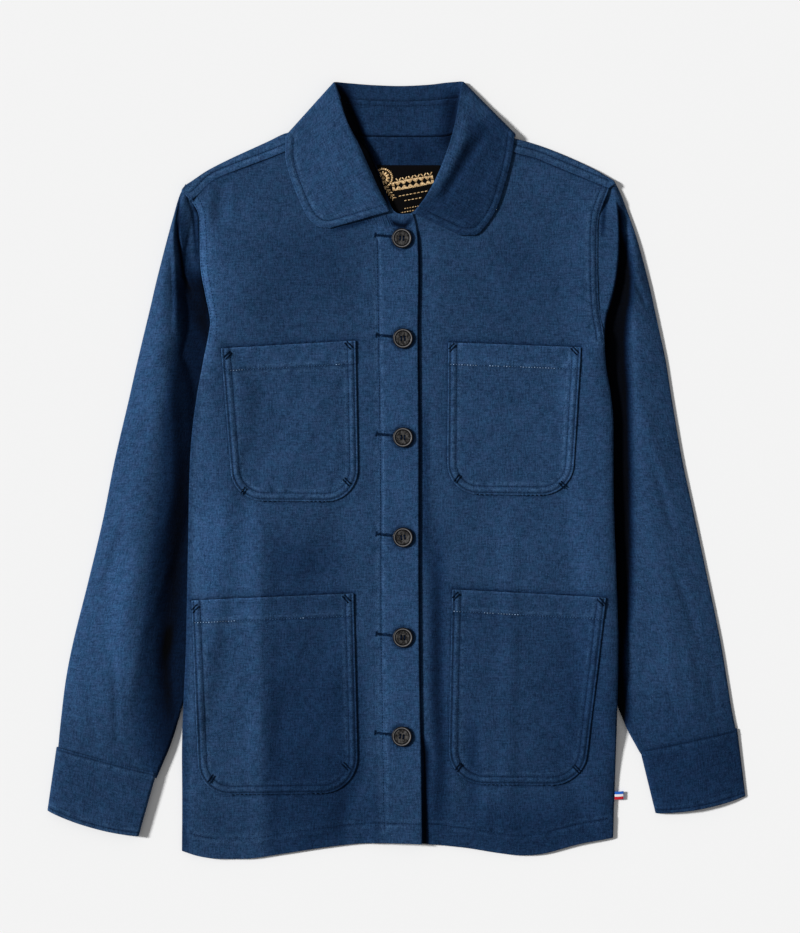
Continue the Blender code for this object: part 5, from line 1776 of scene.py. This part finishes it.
def cuff_lines(side):
    """Rows of stitches: one beside the seam with the sleeve and one above the free end."""
    share = np.linspace(0.015, 0.985, 40)
    lines = [cuff_plan(side, row / CUFF_LENGTH, share) for row in CUFF_SEAM_ROWS]
    lines.append(cuff_plan(side, 1 - CUFF_END_ROW / CUFF_LENGTH, share))
    return lines


def cuff_cloth(side, finish):
    cuff = CUFFS[side]
    along = spaced(*GRIDS["cuff_rows"])
    upper = spaced(*GRIDS["cuff_over"])
    share = np.concatenate([upper, spaced(*GRIDS["cuff_under"])[::-1][1:]])
    on_top = np.arange(len(share)) < len(upper)
    rise = through(CUFF_RISE[side], share)
    rows = []
    for place in along:
        crest = blend(cuff.seam_z, cuff.free_z, place)
        fold_z = crest * np.where(share < 0.5, rise[0], CUFF_RISE[side][-1][1])
        low = rounded(DOUBLE_CLOTH / 2, fold_z, np.minimum(share, 1 - share) / CUFF_TURN)
        plan = cuff_plan(side, place, share)
        bumps = waves("cuff", plan[:, 0], plan[:, 1], SEEDS["cuff"][side])
        high = crest * rise + bumps * off_ends(share, CUFF_BUMP_EASE, CUFF_BUMP_EASE)
        rows.append(np.column_stack([plan, np.where(on_top, high, low)]))
    points = np.array(rows)
    dip, wear = sewn(cuff_lines(side), points[..., 0], points[..., 1], "cuff")
    points[..., 2] += dip * on_top * off_ends(share, CUFF_ROW_EASE, CUFF_ROW_EASE)
    flip = side == "right"
    points += grid_normals(points, True, flip) * CUFF_STAND
    along = along[:, None]
    wear = np.where(wear < 0, wear, np.maximum(wear, peaks(CUFF_END_WEAR, along)))
    # Painted shade on the cuff, darker by its seam.
    tone = CUFF_PAINTED_SHADE[side] * (1 - peaks(CUFF_SEAM_SHADE, along * CUFF_LENGTH))
    return cloth(f"cuff_{side}_cloth", f"cuff_{side}", points, finish, folded=("bottom", "top"),
                 radius=CUFF_EDGE_FOLD, tube=True, flip=flip, cover=arc_cover(points, 0),
                 wear=wear * on_top, tone=tone * np.ones(points.shape[:2]))


# ---------------------------------------------------------------------------------------------
# Pockets.
# ---------------------------------------------------------------------------------------------


def pocket_plan(pocket):
    """X and Y of a pocket's grid: rows from the top down, columns from left to right."""
    depth = pocket.top_left[1] - pocket.low_left[1]
    rounding = max(pocket.round_left, pocket.round_right) / depth
    straight = spaced(depth * (1 - rounding), *POCKET_CELLS)[:-1] * (1 - rounding)
    turn = np.linspace(0, np.pi / 2, POCKET_ROUND_ROWS)
    down = np.concatenate([straight, 1 - rounding * (1 - np.sin(turn))])
    width = pocket.top_right[0] - pocket.top_left[0]
    across = spaced(width, *POCKET_COLUMNS)
    rows = []
    for share in down:
        left = blend(np.array(pocket.top_left), np.array(pocket.low_left), share)
        right = blend(np.array(pocket.top_right), np.array(pocket.low_right), share)
        insets = []
        for radius in (pocket.round_left, pocket.round_right):
            past = max(0, (share - 1) * depth + radius) / radius
            insets.append(radius * (1 - math.sqrt(max(0, 1 - past * past))))
        run = np.hypot(*(right - left))
        first, last = insets[0] / run, 1 - insets[1] / run
        rows.append(blend(left, right, blend(first, last, across)[:, None]))
    return np.array(rows)


def pocket_lines(plan):
    """Two rows of stitches beside the sewn edges, and the one that holds the hem."""
    edge = resampled(np.concatenate([plan[:, 0], plan[-1, 1:], plan[-2::-1, -1]]), 2.5)
    rows = [inset(edge, inside) for inside in POCKET_ROWS]
    down = (plan[-1].mean(0) - plan[0].mean(0)) / (plan[0, 0, 1] - plan[-1, 0, 1])
    return edge, rows, resampled((plan[0] + down * POCKET_HEM)[2:-2], 4)


def pocket_kind(name):
    return "hip" if "hip" in name else "chest"


def pocket_cloth(name, pocket, finish, seed):
    plan = pocket_plan(pocket)
    x, y = plan[..., 0], plan[..., 1]
    edge, rows, hem = pocket_lines(plan)
    from_edge = beside(edge, x, y)[0]
    from_top = beside(resampled(plan[0], 6), x, y)[0]
    z = front_surface(pocket.side, x, y) + POCKET_STAND
    z = z + rises(POCKET_MIDDLE, from_edge) + falls(POCKET_ALLOWANCE, from_edge)
    z = z + falls(POCKET_HEM_STEP, from_top)
    z = z + falls(POCKET_MOUTH, from_top) * ease(from_edge / POCKET_MOUTH_BLEND)
    z = z + waves("pocket", x, y, seed) * rises(POCKET_WAVES, from_edge)
    dip, wear = sewn([*rows, hem], x, y, "pocket")
    z = z + peaks(POCKET_RIDGE, from_edge) + dip
    low, high = HEM_WEAR_SPAN
    patch = peaks(HEM_WEAR, from_top) * (from_edge < high) * (from_edge > low)
    corner = np.minimum(*(np.hypot(x - spot[0], y - spot[1]) for spot in plan[0, [0, -1]]))
    patch = np.maximum(patch, peaks(CORNER_WEAR, corner))
    wear = np.where(wear < GROOVE_KEPT, wear, np.maximum(wear, POCKET_WEAR * patch))
    # The fronts' painted light, each kind of pocket's own tones, a paler hem, painted shade under
    # the hem and paler along the mouth's edge.
    tone = front_painted_light(x, y) * POCKET_TONES[pocket_kind(name)] * (1 + falls(HEM_TONE, from_top))
    tone = tone * (1 + peaks(HEM_SHADE, from_top)) * (1 + peaks(MOUTH_EDGE_TONE, from_top))
    return cloth(f"{name}_cloth", name, np.concatenate([plan, z[..., None]], -1), finish,
                 folded=("left", "bottom", "right", "top"), flip=True, wear=wear, tone=tone)


# ---------------------------------------------------------------------------------------------
# The collar.
# ---------------------------------------------------------------------------------------------


def bezier(a, b, c, d, t):
    return a * (1 - t) ** 3 + 3 * b * t * (1 - t) ** 2 + 3 * c * t * t * (1 - t) + d * t**3


def collar_sections():
    """Points across the collar at each station: up the stand, round the roll, down the fall."""
    table = np.array(COLLAR, float)
    stations = even_stations(table, (2, 3, 5, 6), COLLAR_CELL)
    station = Station(*(through(list(enumerate(column)), stations) for column in table.T))
    fall_steps = spaced(*GRIDS["fall_columns"])[1:]
    stand, fall = [], []
    for k in range(len(stations)):
        s = Station(*(column[k] for column in station))
        side = "right" if s.roll_x < COLLAR_MIDDLE_X else "left"
        on_front = front_height(side, s.neck_x, s.neck_y) + CLOTH / 2 + STAND_CLEAR
        neck = np.array([s.neck_x, s.neck_y, blend(on_front, STAND_FLAT, s.under)])
        over = front_height(side, s.edge_x, s.edge_y) + (CLOTH + DOUBLE_CLOTH) / 2 + GAP + FALL_LIFT
        edge = np.array([s.edge_x, s.edge_y, blend(over, DOUBLE_CLOTH / 2, s.under)])
        roll = np.array([s.roll_x, s.roll_y, s.roll_z])
        rise = (roll - neck) / np.linalg.norm(roll - neck)
        drop = (edge - roll) / np.linalg.norm(edge - roll)
        reach = blend(ROLL_REACH["front"], ROLL_REACH["back"], s.under)
        reach = min(reach, ROLL_SHARE * np.linalg.norm(roll - neck))
        half = (ROLL_FLAT - DOUBLE_CLOTH / 2) * s.under
        start = roll - rise * reach + np.array([0, 0, half])
        end = roll + drop * reach - np.array([0, 0, half])
        handle = max(ROLL_HANDLE * reach, ROUND_HANDLE * half)
        seam = blend(neck, start, STAND_SHARE)
        gap = (start - neck) / np.linalg.norm(start - neck) * STAND_LAP
        stand.append([blend(neck, seam + gap, t) for t in np.linspace(0, 1, STAND_CELLS)])
        row = [blend(seam, start, t) for t in np.linspace(0, 1, 5)]
        for t in np.linspace(0, 1, ROLL_CELLS)[1:]:
            row.append(bezier(start, start + rise * handle, end - drop * handle, end, t))
        for t in fall_steps:
            point = blend(end, edge, t)
            point[2] = edge[2] + (end[2] - edge[2]) * (1 - t) ** FALL_EASE
            row.append(point)
        fall.append(row)
    return np.array(stand), np.array(fall), station.under


def collar_rows(fall, under):
    """The two leaves' outer edges, from the front end of each round to the shoulder."""
    free = np.flatnonzero(under < 0.3)
    turn = np.flatnonzero(np.diff(free) > 1)[0]
    last, first = free[turn], free[turn + 1]
    outer = fall[:, -1, :2]
    right = np.concatenate([fall[0, LEAF_START:, :2], outer[1:last + 1]])
    left = np.concatenate([outer[first:], fall[-1, -2:LEAF_START - 1:-1, :2]])
    return [resampled(right, 3), resampled(left, 3)]


def fall_cloth(fall, under, finish):
    """The collar's fall with its waves, its sewn rows, painted highlight and shade on both leaves,
    and painted shade inside the neck.
    """
    free = (1 - ease(under * 2))[:, None]
    x, y = fall[..., 0], fall[..., 1]
    edges = collar_rows(fall, under)
    rows = [inset(edge, -COLLAR_ROW) for edge in edges]
    past_roll = (np.arange(fall.shape[1]) / fall.shape[1])[None, :]
    on_fall = rises(ON_FALL, past_roll) * free
    dip, wear = sewn(rows, x, y, "leaf")
    from_edge = np.minimum(*(beside(edge, x, y)[0] for edge in edges))
    dip = dip + peaks(LEAF_RIDGE, from_edge)
    bumps = relief(COLLAR_FOLDS, x, y) + waves("fall", x, y, SEEDS["fall"])
    fall[..., 2] += (bumps * (1 - falls(LEAF_CALM, from_edge)) + dip) * on_fall
    fall[:, 0, 2] -= FALL_SINK * under
    tone = 1 + sum(rises(leaf, x) for leaf in LEAF_PAINTED_LIGHT) * free
    tone = tone * blend(1, lit(COLLAR_SHADES, x, y), rises(PAST_SEAM, past_roll) * free)
    inner = 1 - free
    tone = tone * (1 - INNER_SHADE * inner) * blend(1, lit(NECK_SHADES, x, y), inner)
    piece = cloth("collar_fall_cloth", "collar_fall", fall, finish, COLLAR_WALL,
                  folded=("bottom", "right", "top"), radius=COLLAR_EDGE_FOLD, flip=True,
                  cover=arc_cover(fall, fall.shape[1] // 2), wear=wear * on_fall, tone=tone)
    return piece, rows


def stand_cloth(stand, under, finish):
    """The collar's stand, sewn to the fall where it shows inside the neck."""
    x, y = stand[..., 0], stand[..., 1]
    share = np.linspace(0, 1, stand.shape[1])[None, :]
    seam = stand[:, -3, :2][under > 0.9]
    dip, wear = sewn([seam], x, y, "stand")
    bumps = waves("stand", x, y, SEEDS["stand"]) * (1 - share)
    stand[..., 2] += bumps + dip - rises(STAND_SINK, share)
    # Painted shade inside the neck, the painted shadow of the collar's rolls, and deeper painted
    # shade at the stand's foot.
    tone = (1 - INNER_SHADE) * lit(NECK_SHADES, x, y) * (1 - falls(STAND_FOOT_SHADE, share))
    piece = cloth("collar_stand_cloth", "collar_stand", stand, finish, COLLAR_WALL,
                  folded=("bottom",), flip=True, cover=arc_cover(stand, 0),
                  wear=np.minimum(wear, 0) * STAND_WEAR, tone=tone)
    return piece, seam


# ---------------------------------------------------------------------------------------------
# Buttons, labels and the scene.
# ---------------------------------------------------------------------------------------------


def horn_finish():
    """Dark mottled horn with a paler rubbed rim, painted shade in the groove inside the rim and on
    the rounded outer edge.
    """
    horn = Finish("button_horn", roughness=0.38, gloss=0.22)
    swirl = horn.speckle(horn.inside((1, 0.6, 1)), 2.2, 4.0, 0.7)
    grain = horn.speckle(horn.inside(), 0.8, 2.0, 0.6)
    radius = horn.attribute("radius")
    face = horn.mixed((swirl * 0.7 + grain * 0.3).between(0.42, 0.62), HORN_DARK, HORN_LIGHT)
    rim_colour = horn.mixed(grain.between(0.35, 0.7), HORN_RIM, shaded(HORN_RIM, 0.55))
    # Painted shade, near black, in the groove inside the rim.
    groove = radius.between(0.67, 0.70) * (1 - radius.between(0.79, 0.81))
    face = horn.mixed(groove * 0.93, face, (0.004, 0.004, 0.005))
    rim = radius.between(0.80, 0.82) * (1 - radius.between(0.87, 0.90))
    # Painted shade on the rounded outer edge.
    face = horn.mixed(radius.between(0.87, 0.90), face, shaded(HORN_DARK, 0.5))
    horn.colour(horn.mixed(rim, face, rim_colour))
    horn.rough(swirl * 0.25 + 0.22)
    horn.bump(grain * 0.6 + swirl * 0.4, 0.3, 0.15)
    return horn.material


def select_top(mesh_edit, least_z):
    """Selects only the faces that look up from above this height."""
    for face in mesh_edit.faces:
        middle = face.calc_center_median().z / MM
        face.select_set(face.normal.z > 0.9 and middle > least_z)


def button_model(finish):
    """One four-hole button on the origin: a rim, a groove inside it and a dished middle."""
    bpy.ops.object.select_all(action="DESELECT")
    bpy.ops.mesh.primitive_cylinder_add(
        vertices=BUTTON_SIDES, radius=BUTTON_RADIUS * MM, depth=BUTTON_DEPTH * MM,
        location=(0, 0, BUTTON_DEPTH / 2 * MM),
    )
    button = bpy.context.object
    bpy.ops.object.transform_apply(location=True)
    bpy.ops.object.mode_set(mode="EDIT")
    bpy.ops.mesh.select_mode(type="FACE")
    bpy.ops.mesh.select_all(action="DESELECT")
    work = bmesh.from_edit_mesh(button.data)
    select_top(work, BUTTON_DEPTH - 0.1)
    bmesh.update_edit_mesh(button.data)
    for width, drop in BUTTON_RINGS:
        bpy.ops.mesh.inset(thickness=width * MM, depth=0)
        bpy.ops.transform.translate(value=(0, 0, drop * MM))
    bpy.ops.object.mode_set(mode="OBJECT")
    rounding = button.modifiers.new("Rounding", "BEVEL")
    rounding.width = BUTTON_ROUNDING * MM
    rounding.segments = 3
    rounding.angle_limit = math.radians(50)
    bpy.ops.object.modifier_apply(modifier=rounding.name)
    for across in (-1, 1):
        for along in (-1, 1):
            bpy.ops.object.select_all(action="DESELECT")
            bpy.ops.mesh.primitive_cylinder_add(
                vertices=HOLE_SIDES, radius=HOLE_RADIUS * MM, depth=4 * BUTTON_DEPTH * MM,
                location=(across * HOLE_OFFSET[0] * MM, along * HOLE_OFFSET[1] * MM, 0),
            )
            pin = bpy.context.object
            hole = button.modifiers.new("Hole", "BOOLEAN")
            hole.operation = "DIFFERENCE"
            hole.object = pin
            bpy.context.view_layer.objects.active = button
            bpy.ops.object.modifier_apply(modifier=hole.name)
            bpy.data.objects.remove(pin)
    bpy.ops.object.select_all(action="DESELECT")
    button.select_set(True)
    bpy.ops.object.shade_smooth_by_angle(angle=math.radians(BUTTON_CREASE))
    mesh = button.data
    radius = mesh.attributes.new("radius", "FLOAT", "POINT")
    reach = [math.hypot(v.co.x, v.co.y) / (BUTTON_RADIUS * MM) for v in mesh.vertices]
    radius.data.foreach_set("value", reach)
    mesh.materials.append(finish)
    model = mesh.copy()
    bpy.data.objects.remove(button)
    return model


def button_thread(thread):
    """Two bars of thread through the four holes of a button on the origin."""
    shape, ring_faces = stitch_shape()
    reach = HOLE_OFFSET[1] + THREAD_PAST
    points, faces = [], []
    for across in (-1, 1):
        for strand in range(THREAD_STRANDS):
            aside = across * HOLE_OFFSET[0] + (strand - (THREAD_STRANDS - 1) / 2) * THREAD_PITCH
            bead = shape * np.array([2 * reach, *THREAD_SIZE])
            first = len(points) * len(shape)
            up = BUTTON_FACE + THREAD_BOW * (1 - (bead[:, 0] / reach) ** 2) + bead[:, 2]
            points.append(np.stack([aside + bead[:, 1], bead[:, 0], up], -1))
            faces.extend([[first + k for k in face] for face in ring_faces])
    mesh = bpy.data.meshes.new("thread")
    mesh.from_pydata(np.concatenate(points) * MM, [], faces)
    mesh.shade_smooth()
    mesh.materials.append(thread)
    return mesh


def buttons(tree, thread):
    """Six buttons on the front, each a little tilted, with their thread."""
    model = button_model(horn_finish())
    strands = button_thread(thread)
    draw = np.random.default_rng(SEEDS["buttons"])
    made = []
    for number, (x, y) in enumerate(BUTTONS, 1):
        spot = landing(tree, x, y)[0]
        turn = Matrix.Rotation(math.radians(draw.normal(0, BUTTON_TURN)), 4, "Z")
        tilt = math.radians(draw.normal(0, BUTTON_TILT))
        tilt = Matrix.Rotation(tilt, 4, (1, draw.normal(0, 1), 0))
        place = Matrix.Translation(Vector((x, y, spot[2] + BUTTON_STAND)) * MM)
        name = f"button_{number}"
        horn, threads = model.copy(), strands.copy()
        for mesh in (horn, threads):
            mesh.transform(place @ tilt @ turn)
        made.append(place_piece(f"{name}_horn", horn, "horn", name))
        made.append(place_piece(f"{name}_thread", threads, "navy_twill"))
    bpy.data.meshes.remove(model)
    bpy.data.meshes.remove(strands)
    return made


def label_finish():
    """Black woven satin."""
    satin = Finish("label_satin", roughness=0.8, gloss=0.02)
    weave = satin.speckle(satin.place((1, 0.15, 1)), 0.6, 2.0, 0.6)
    satin.colour(satin.mixed(weave, (0.0012, 0.0012, 0.0015), (0.005, 0.0045, 0.005)))
    satin.bump(weave, 0.3, 0.2)
    return satin.material


def gold_finish():
    gold = Finish("gold_thread", roughness=0.45, gloss=0.5)
    grain = gold.speckle(gold.inside(), 1.4, 3.0, 0.7)
    gold.colour(gold.mixed(grain.between(0.34, 0.68), (0.34, 0.18, 0.055), (1.0, 0.74, 0.40)))
    return gold.material


def rosette_stitches():
    """A ring of short stitches round twelve petals and a filled middle."""
    x, y = ROSETTE_CENTRE
    made = []
    for inner, outer, count, width in ROSETTE_ROUNDS:
        for k in range(count):
            angle = 2 * math.pi * k / count
            middle = (inner + outer) / 2
            made.append((
                x + middle * math.cos(angle), y + middle * math.sin(angle), angle,
                outer - inner, width, 0.05,
            ))
    return made


def banner_stitches():
    """A slanted ribbon of satin stitches with a row of plain lozenges left open along it."""
    x, y = BANNER_START
    slant = math.radians(BANNER_SLANT)
    made = []
    for k in range(BANNER_STITCHES):
        along = (k + 0.5) * BANNER_PITCH
        swell = BANNER_HALF + 0.5 * math.sin(along / 11)
        gap = max(0.0, 2.9 - 1.15 * abs((along % LOZENGE_PITCH) - LOZENGE_PITCH / 2))
        if along < 2.5 or along > BANNER_STITCHES * BANNER_PITCH - 2.5:
            gap = 0.0
        for way in (-1, 1):
            middle, length = way * (swell + gap) / 2, swell - gap
            made.append((
                x + along * math.cos(slant) - middle * math.sin(slant),
                y + along * math.sin(slant) + middle * math.cos(slant),
                slant + math.pi / 2, length, BANNER_PITCH * 1.1, 0.05,
            ))
    return made


def dash_stitches():
    """Rows of dashes along the ribbon, above and below it, and a sprig under the rosette."""
    made = []
    for x, y, count, pitch, length, width in DASH_ROWS:
        slant = math.radians(BANNER_SLANT)
        for k in range(count):
            along = k * pitch
            made.append((
                x + along * math.cos(slant), y + along * math.sin(slant),
                slant + (0.9 if k % 2 else -0.9) * (width > 1), length, width, 0.05,
            ))
    x, y = ROSETTE_CENTRE
    for k in range(SPRIG_LEAVES):
        stem = x + 2 + 1.9 * k, y - 9 - 2.5 * k
        made.append((*stem, math.radians(-52), 3.2, 0.7, 0.05))
        for way in (-1, 1):
            angle = math.radians(-52 + 48 * way)
            made.append((
                stem[0] + 1.9 * math.cos(angle), stem[1] + 1.9 * math.sin(angle), angle, 3.4,
                1.5 - 0.12 * k, 0.08,
            ))
    return made


def neck_label():
    x, y = np.meshgrid(
        np.linspace(NECK_LABEL["left"], NECK_LABEL["right"], 60),
        np.linspace(NECK_LABEL["bottom"], NECK_LABEL["top"], 40),
    )
    z = LABEL_Z + waves("label", x, y, SEEDS["label"])
    label = cloth("neck_label_satin", "neck_label", np.stack([x, y, z], -1), label_finish(),
                  wall=0.45, folded=("left", "bottom", "right", "top"), radius=0.26)
    tree = shell_tree(label)
    gold = gold_finish()
    stitches = rosette_stitches() + banner_stitches() + dash_stitches()
    design = sewing("neck_label_gold_thread", tree, stitches, gold, "label_cloth")
    return label, design


def flag_tab():
    """A folded woven tape in the side seam, striped across, with its free edge turned back."""
    tape = Finish("tab_tape", roughness=0.7, gloss=0.2)
    height = tape.attribute("wear")
    weave = tape.speckle(tape.inside(), 0.5, 1.0, 0.5)
    stripes = tape.mixed(height.above(0.36), TAB_RED, TAB_WHITE)
    stripes = tape.mixed(height.above(0.66), stripes, TAB_BLUE)
    tape.colour(tape.mixed(weave.between(0.3, 0.7) * 0.25, stripes, (0.5, 0.5, 0.5), "MULTIPLY"))
    share, rise = np.meshgrid(np.linspace(0, 1, 14), np.linspace(0, 1, 19))
    x = FLAG_TAB["left"] + (FLAG_TAB["right"] - FLAG_TAB["left"]) * share
    y = FLAG_TAB["bottom"] + (FLAG_TAB["top"] - FLAG_TAB["bottom"]) * rise + 0.5 * share**2
    z = TAB_Z + 0.35 * np.sin(share * 2.6) + waves("tab", x, y, SEEDS["tab"])
    return cloth("side_flag_tab_tape", "side_flag_tab", np.stack([x, y, z], -1), tape.material,
                 wall=0.35, folded=("right",), radius=0.28, wear=rise)


def pocket_tacks(name, seed):
    """Pairs of bars slanting in from the ends of a pocket's top edge and across its lower curves."""
    made = []
    for (x, y), angle in zip(TACKS[name], TACK_ANGLES):
        across = math.radians(angle + 90)
        for aside in (-TACK_SPACE / 2, TACK_SPACE / 2):
            spot = x + aside * math.cos(across), y + aside * math.sin(across)
            made += bar_tack(*spot, angle, TACK_LENGTH, seed + len(made), TACK_WIDTH)
    return made


def buttonhole(x, y, seed):
    """A slot that slopes down to its button, whipped ragged on both sides with a bar at its end."""
    draw = np.random.default_rng(seed)
    start = np.array([x - HOLE_RUN[0], y + HOLE_RUN[1]])
    end = np.array([x - HOLE_END[0], y + HOLE_END[1]])
    ahead = unit(end - start)
    aside = np.array([-ahead[1], ahead[0]])
    angle = math.atan2(ahead[1], ahead[0])
    run = np.hypot(*(end - start))
    made = []
    for k in range(round(run / BAR_PITCH)):
        for way in (-1, 1):
            spot = start + ahead * (k * BAR_PITCH + draw.normal(0, 0.1)) + aside * way * 0.6
            made.append((
                *spot, angle + way * math.pi / 2 + draw.normal(0, 0.2),
                draw.uniform(1.0, 2.5), 0.6, 0.15,
            ))
    # The open slit is a dark bead of thread laid along it: painted shade.
    middle = start + ahead * run / 2
    slot = [(*middle, angle, run, 0.5, 0.05)]
    made += bar_tack(*(start - ahead * 0.2), math.degrees(angle) + 84, 5.2, seed, 1.7)
    return made, slot


def studio():
    """Pale floor, soft light from the left and a camera straight above."""
    bpy.ops.mesh.primitive_plane_add(size=FLOOR_SIZE)
    floor = bpy.context.object
    floor.name = "studio_floor"
    pale = Finish("studio_floor", colour=(0.9, 0.9, 0.9, 1), roughness=0.95)
    floor.data.materials.append(pale.material)

    key = bpy.data.lights.new("key_light", "SUN")
    key.energy = KEY_STRENGTH
    key.angle = math.radians(KEY_SPREAD)
    lamp = bpy.data.objects.new("key_light", key)
    towards = Vector(KEY_FROM)
    lamp.rotation_euler = towards.to_track_quat("Z", "Y").to_euler()
    bpy.context.scene.collection.objects.link(lamp)

    bpy.context.scene.view_settings.view_transform = "Standard"
    world = bpy.data.worlds.new("studio_light")
    world.use_nodes = True
    background = world.node_tree.nodes["Background"]
    background.inputs["Color"].default_value = (*FILL_COLOUR, 1)
    background.inputs["Strength"].default_value = FILL_STRENGTH
    bpy.context.scene.world = world

    lens = bpy.data.cameras.new("camera")
    lens.lens = CAMERA_LENS
    lens.clip_end = 20
    camera = bpy.data.objects.new("camera", lens)
    camera.location = Vector((*CAMERA_CENTRE, CAMERA_HEIGHT)) * MM
    bpy.context.scene.collection.objects.link(camera)
    bpy.context.scene.camera = camera


def pocket_piece(name, pocket, finish, threads, seed):
    """A pocket with its rows of stitches, its worn hem row and its four pairs of bars."""
    piece = pocket_cloth(name, pocket, finish, seed)
    tree = shell_tree(piece)
    rows, hem = pocket_lines(pocket_plan(pocket))[1:]
    stitches = rows_of(rows, seed, *POCKET_THREAD)
    sewn_on = [sewing(f"{name}_stitches", tree, stitches, threads["navy"])]
    sewn_on.append(sewing(f"{name}_bars", tree, pocket_tacks(name, seed), threads["dark"]))
    hem_row = running(hem, seed + 5, *HEM_THREAD)
    worn = [any(low < stitch[0] < high for low, high in WORN_SPANS[name]) for stitch in hem_row]
    for kind in ("dull", "worn"):
        picked = [stitch for stitch, pale in zip(hem_row, worn) if pale == (kind == "worn")]
        sewn_on.append(sewing(f"{name}_hem_{kind}_stitches", tree, picked, threads[kind]))
    return piece, sewn_on


def make_body(threads):
    """The fronts, the back, and what is sewn on them, from buttonholes to buttons."""
    body = twill_finish("body_twill")
    fronts, seams = {}, {}
    for side in SIDES:
        fronts[side] = front_cloth(side, body)
        x, y = (grid[-1] for grid in front_points(side))
        keep = np.linspace(0, len(x) - 1, SEAM_COLUMNS).round().astype(int)
        seams[side] = np.stack([x, y, front_height(side, x, y)], -1)[keep]
    trees = {side: shell_tree(piece) for side, piece in fronts.items()}
    back = back_cloth(seams, body)
    lines = [shoulder_line(side, SHOULDER_ROW) for side in SIDES]
    rows = rows_of(lines, SEEDS["shoulder_rows"])
    sewn_on = sewing("shoulder_stitches", shell_tree(back), rows, threads["navy"])

    for side in SIDES:
        rows, sewn_on = rows_of(front_lines(side), SEEDS["front_rows"]), []
        if side == "right":
            slit_shades = []
            for number, (x, y) in enumerate(BUTTONS, SEEDS["buttonholes"]):
                whips, slot = buttonhole(x, y, number)
                rows += whips
                slit_shades += slot
            # Dark beads along the slits: painted shade for the open buttonholes.
            sewn_on.append(sewing("buttonhole_slit_shades", trees[side], slit_shades, threads["dark"]))
            sewn_on += buttons(trees[side], threads["dark"])
        sewn_on.append(sewing(f"front_{side}_stitches", trees[side], rows, threads["navy"]))


def make_arms(threads):
    sleeve_twill = twill_finish("sleeve_twill", 0.5)
    cuff_twill = twill_finish("cuff_twill", 1.1)
    for side in SIDES:
        sleeve = sleeve_cloth(side, sleeve_twill)
        cuff = cuff_cloth(side, cuff_twill)
        rows = rows_of(cuff_lines(side), SEEDS["cuff_rows"], *CUFF_THREAD)
        sewn_on = sewing(f"cuff_{side}_stitches", shell_tree(cuff), rows, threads["navy"])


def make_pockets(threads):
    twill = {
        "chest": twill_finish("chest_pocket_twill", 1.7),
        "hip": twill_finish("hip_pocket_twill", 2.3),
    }
    for number, (name, pocket) in enumerate(POCKETS.items()):
        kind, seed = pocket_kind(name), SEEDS["pockets"] + 10 * number
        piece, sewn_on = pocket_piece(name, pocket, twill[kind], threads, seed)


def make_collar(threads):
    twill = twill_finish("collar_twill", 2.9)
    stand, fall, under = collar_sections()
    stand, seam = stand_cloth(stand, under, twill)
    fall, rows = fall_cloth(fall, under, twill)
    stitches = []
    for row, seed in zip(rows, SEEDS["leaf_rows"]):
        stitches += running(row, seed)
    fall_sewn = sewing("collar_fall_stitches", shell_tree(fall), stitches, threads["navy"])
    stitches = running(seam, SEEDS["stand_row"])
    stand_sewn = sewing("collar_stand_stitches", shell_tree(stand), stitches, threads["navy"])


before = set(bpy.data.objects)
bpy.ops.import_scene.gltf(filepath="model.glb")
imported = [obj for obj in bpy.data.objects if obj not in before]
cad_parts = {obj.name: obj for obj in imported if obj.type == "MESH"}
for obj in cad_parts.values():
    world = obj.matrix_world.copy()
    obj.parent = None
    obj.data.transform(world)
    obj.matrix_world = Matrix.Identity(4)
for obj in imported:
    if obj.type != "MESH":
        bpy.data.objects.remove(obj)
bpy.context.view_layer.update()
studio()
THREADS = {
    "navy": thread_finish("navy_thread", THREAD),
    "dark": thread_finish("dark_thread", shaded(THREAD, 0.6), THREAD),
    "worn": thread_finish("worn_thread", shaded(WORN_THREAD, 0.35), WORN_THREAD),
    "dull": thread_finish("dull_thread", NAVY_LIGHT, NAVY_FADED),
}
make_body(THREADS)
make_arms(THREADS)
make_pockets(THREADS)
make_collar(THREADS)
label, design = neck_label()
flag_tab()
